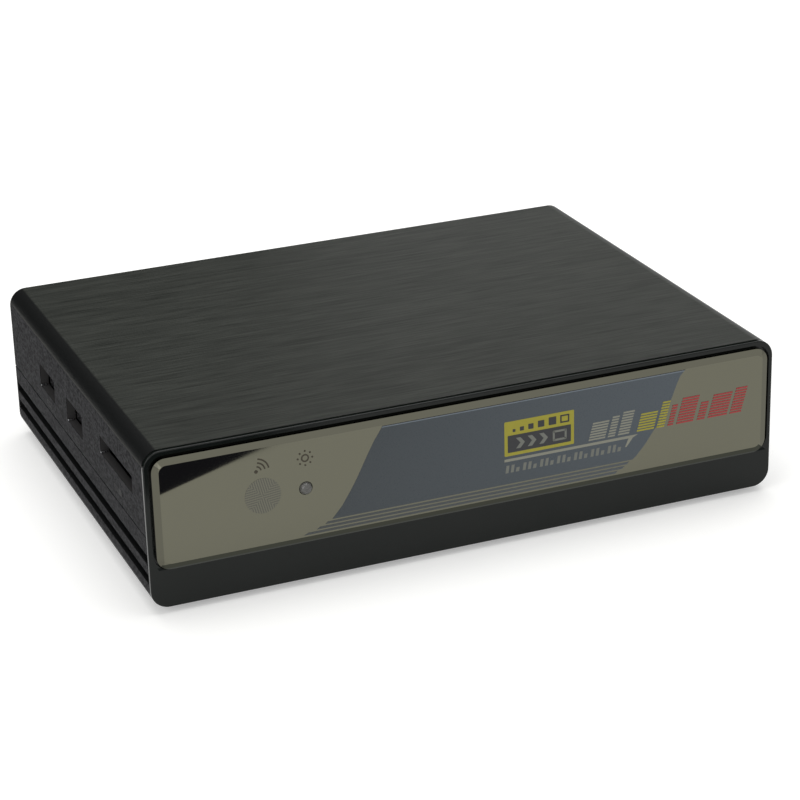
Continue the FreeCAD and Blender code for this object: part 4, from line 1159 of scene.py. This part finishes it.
@dataclass(frozen=True)
class Card:
    """A card that is only seen in gloss, as a photographer's flag is, in millimetres and degrees."""

    name: str
    spot: Triple
    size: Pair
    turn: Triple
    shade: str = "#0c0c0c"

    def place(self) -> None:
        """Puts the card up."""
        paint = bpy.data.materials.new(self.name)
        on = Canvas(paint)
        on.add("OutputMaterial", on.add("Emission", self.shade))
        bpy.ops.mesh.primitive_plane_add(size=MM, location=Vector(self.spot) * MM,
                                         rotation=[math.radians(angle) for angle in self.turn])
        made = bpy.context.object
        made.scale = (*self.size, 1.0)
        made.name = self.name
        made.data.materials.append(paint)
        for ray in ("camera", "diffuse", "transmission", "volume_scatter", "shadow"):
            setattr(made, f"visible_{ray}", False)


@dataclass
class Studio:
    """Camera, lamps, floor and the cards that the mirror plate and the covers reflect."""

    azimuth: float = -21.855
    elevation: float = 22.583
    roll: float = -1.61
    distance: float = 624.7
    slide: Pair = (4.962, 13.294)
    aim: Triple = (0.0, -2.8, 1.5)
    lens: float = 113.25
    floor_size: float = 6.0
    floor_fade: Pair = (0.4, 1.0)
    floor_lift: float = 0.35
    room_light: float = 0.45
    cards: tuple[Card, ...] = (
        Card("back_flag", (-650.0, 900.0, 550.0), (1900.0, 1100.0), (90.0, 0.0, 0.0)),
        Card("right_flag", (575.0, 900.0, 700.0), (550.0, 800.0), (90.0, 0.0, 0.0)),
        Card("floor_flag", (-515.0, 450.0, 0.15), (770.0, 900.0), (0.0, 0.0, 0.0)),
        Card("left_flag", (-1300.0, 300.0, 450.0), (1200.0, 900.0), (90.0, 0.0, 90.0)),
        Card("front_flag", (74.5, -230.5, 0.2), (343.7, 80.0), (0.0, 0.0, -26.2), "#3a3a46"),
        # A grey card that only the plate's bottom bevel sees, standing in for the floor's shade right in
        # front: painted shade.
        Card("near_shade_card", (0.8, -60.8, 10.4), (151.0, 1.4), (0.0, 0.0, 0.0), "#a1a5a6"))
    lamps: tuple[SoftBox, ...] = (
        SoftBox("top_softbox", (0.1, 0.25, 1.3), (0.0, 0.0, 0.0), 1.4, 12.0),
        SoftBox("left_softbox", (-1.1, -0.55, 0.65), (0.0, -0.02, 0.02), 0.9, 4.2),
        SoftBox("front_softbox", (-0.355, -1.53, 0.12), (-0.0745, -0.06, 0.0365), 0.28, 0.19))

    def camera(self) -> None:
        """Places the camera where the photograph was taken."""
        turned = Euler((math.radians(90.0 - self.elevation), 0.0, math.radians(self.azimuth))).to_matrix()
        spot = Vector(self.aim) + turned @ Vector((*self.slide, self.distance))
        data = bpy.data.cameras.new("photo_camera")
        data.lens = self.lens
        data.sensor_width = 36.0
        data.clip_start = 0.01
        made = bpy.data.objects.new("photo_camera", data)
        bpy.context.collection.objects.link(made)
        rolled = turned @ Matrix.Rotation(math.radians(self.roll), 3, "Z")
        made.matrix_world = Matrix.Translation(spot * MM) @ rolled.to_4x4()
        bpy.context.scene.camera = made

    def floor(self) -> None:
        """Lays the pale floor, lifted for the camera and gloss, and plain white far off."""
        bpy.ops.mesh.primitive_plane_add(size=self.floor_size)
        made = bpy.context.object
        made.name = "floor"
        paint = bpy.data.materials.new("pale_floor")
        on = Canvas(paint)
        shown = seen(on)
        lift = on.add("MULTIPLY", shown, self.floor_lift)
        near = on.add("AddShader", on.add("BsdfDiffuse", "#ececea"), on.add("Emission", "#ffffff", lift))
        reach = on.add("VectorMath", on.place, operation="LENGTH")
        far = on.add("MapRange", reach, *self.floor_fade)
        fade = on.add("MULTIPLY", far, shown)
        on.add("OutputMaterial", on.add("MixShader", fade, near, on.add("Emission", "#ffffff")))
        made.data.materials.append(paint)

    def world(self) -> None:
        """Lights the room evenly, and shows it white behind the object."""
        world = bpy.data.worlds.new("room")
        bpy.context.scene.world = world
        on = Canvas(world)
        strength = on.add("MapRange", seen(on), 0.0, 1.0, self.room_light, 1.0)
        on.add("OutputWorld", on.add("Background", "#ffffff", strength))

    def build(self) -> None:
        """Sets up the whole studio."""
        for card in self.cards:
            card.place()
        self.camera()
        self.world()
        self.floor()
        for lamp in self.lamps:
            lamp.hang()
        bpy.context.scene.view_settings.view_transform = "Standard"


class Frame:
    """The pieces that come with the frame."""

    def dress(self, frame: dict) -> None:
        """Gives every node of the frame the finish of its material slot.
        """
        slots = {part["node"]: part["material_slot"] for part in frame["record"]["subparts"]}
        for name, node in frame["nodes"].items():
            material = Slot[slots[name].upper()].value.material()
            for slot in node.material_slots:
                slot.material = material
            LOG.info("dressed %s", name)


def main() -> None:
    """Builds the scene around the frame."""
    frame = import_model()
    bpy.ops.object.select_all(action="DESELECT")
    Studio().build()
    Frame().dress(frame)
    for assembly in (PlatePrints(), PanelPrints(), KeyPrints(), SlotMarks(), Contacts(), LampFrame()):
        assembly.build()


if __name__ == "__main__":
    logging.basicConfig(level=logging.INFO)
    main()
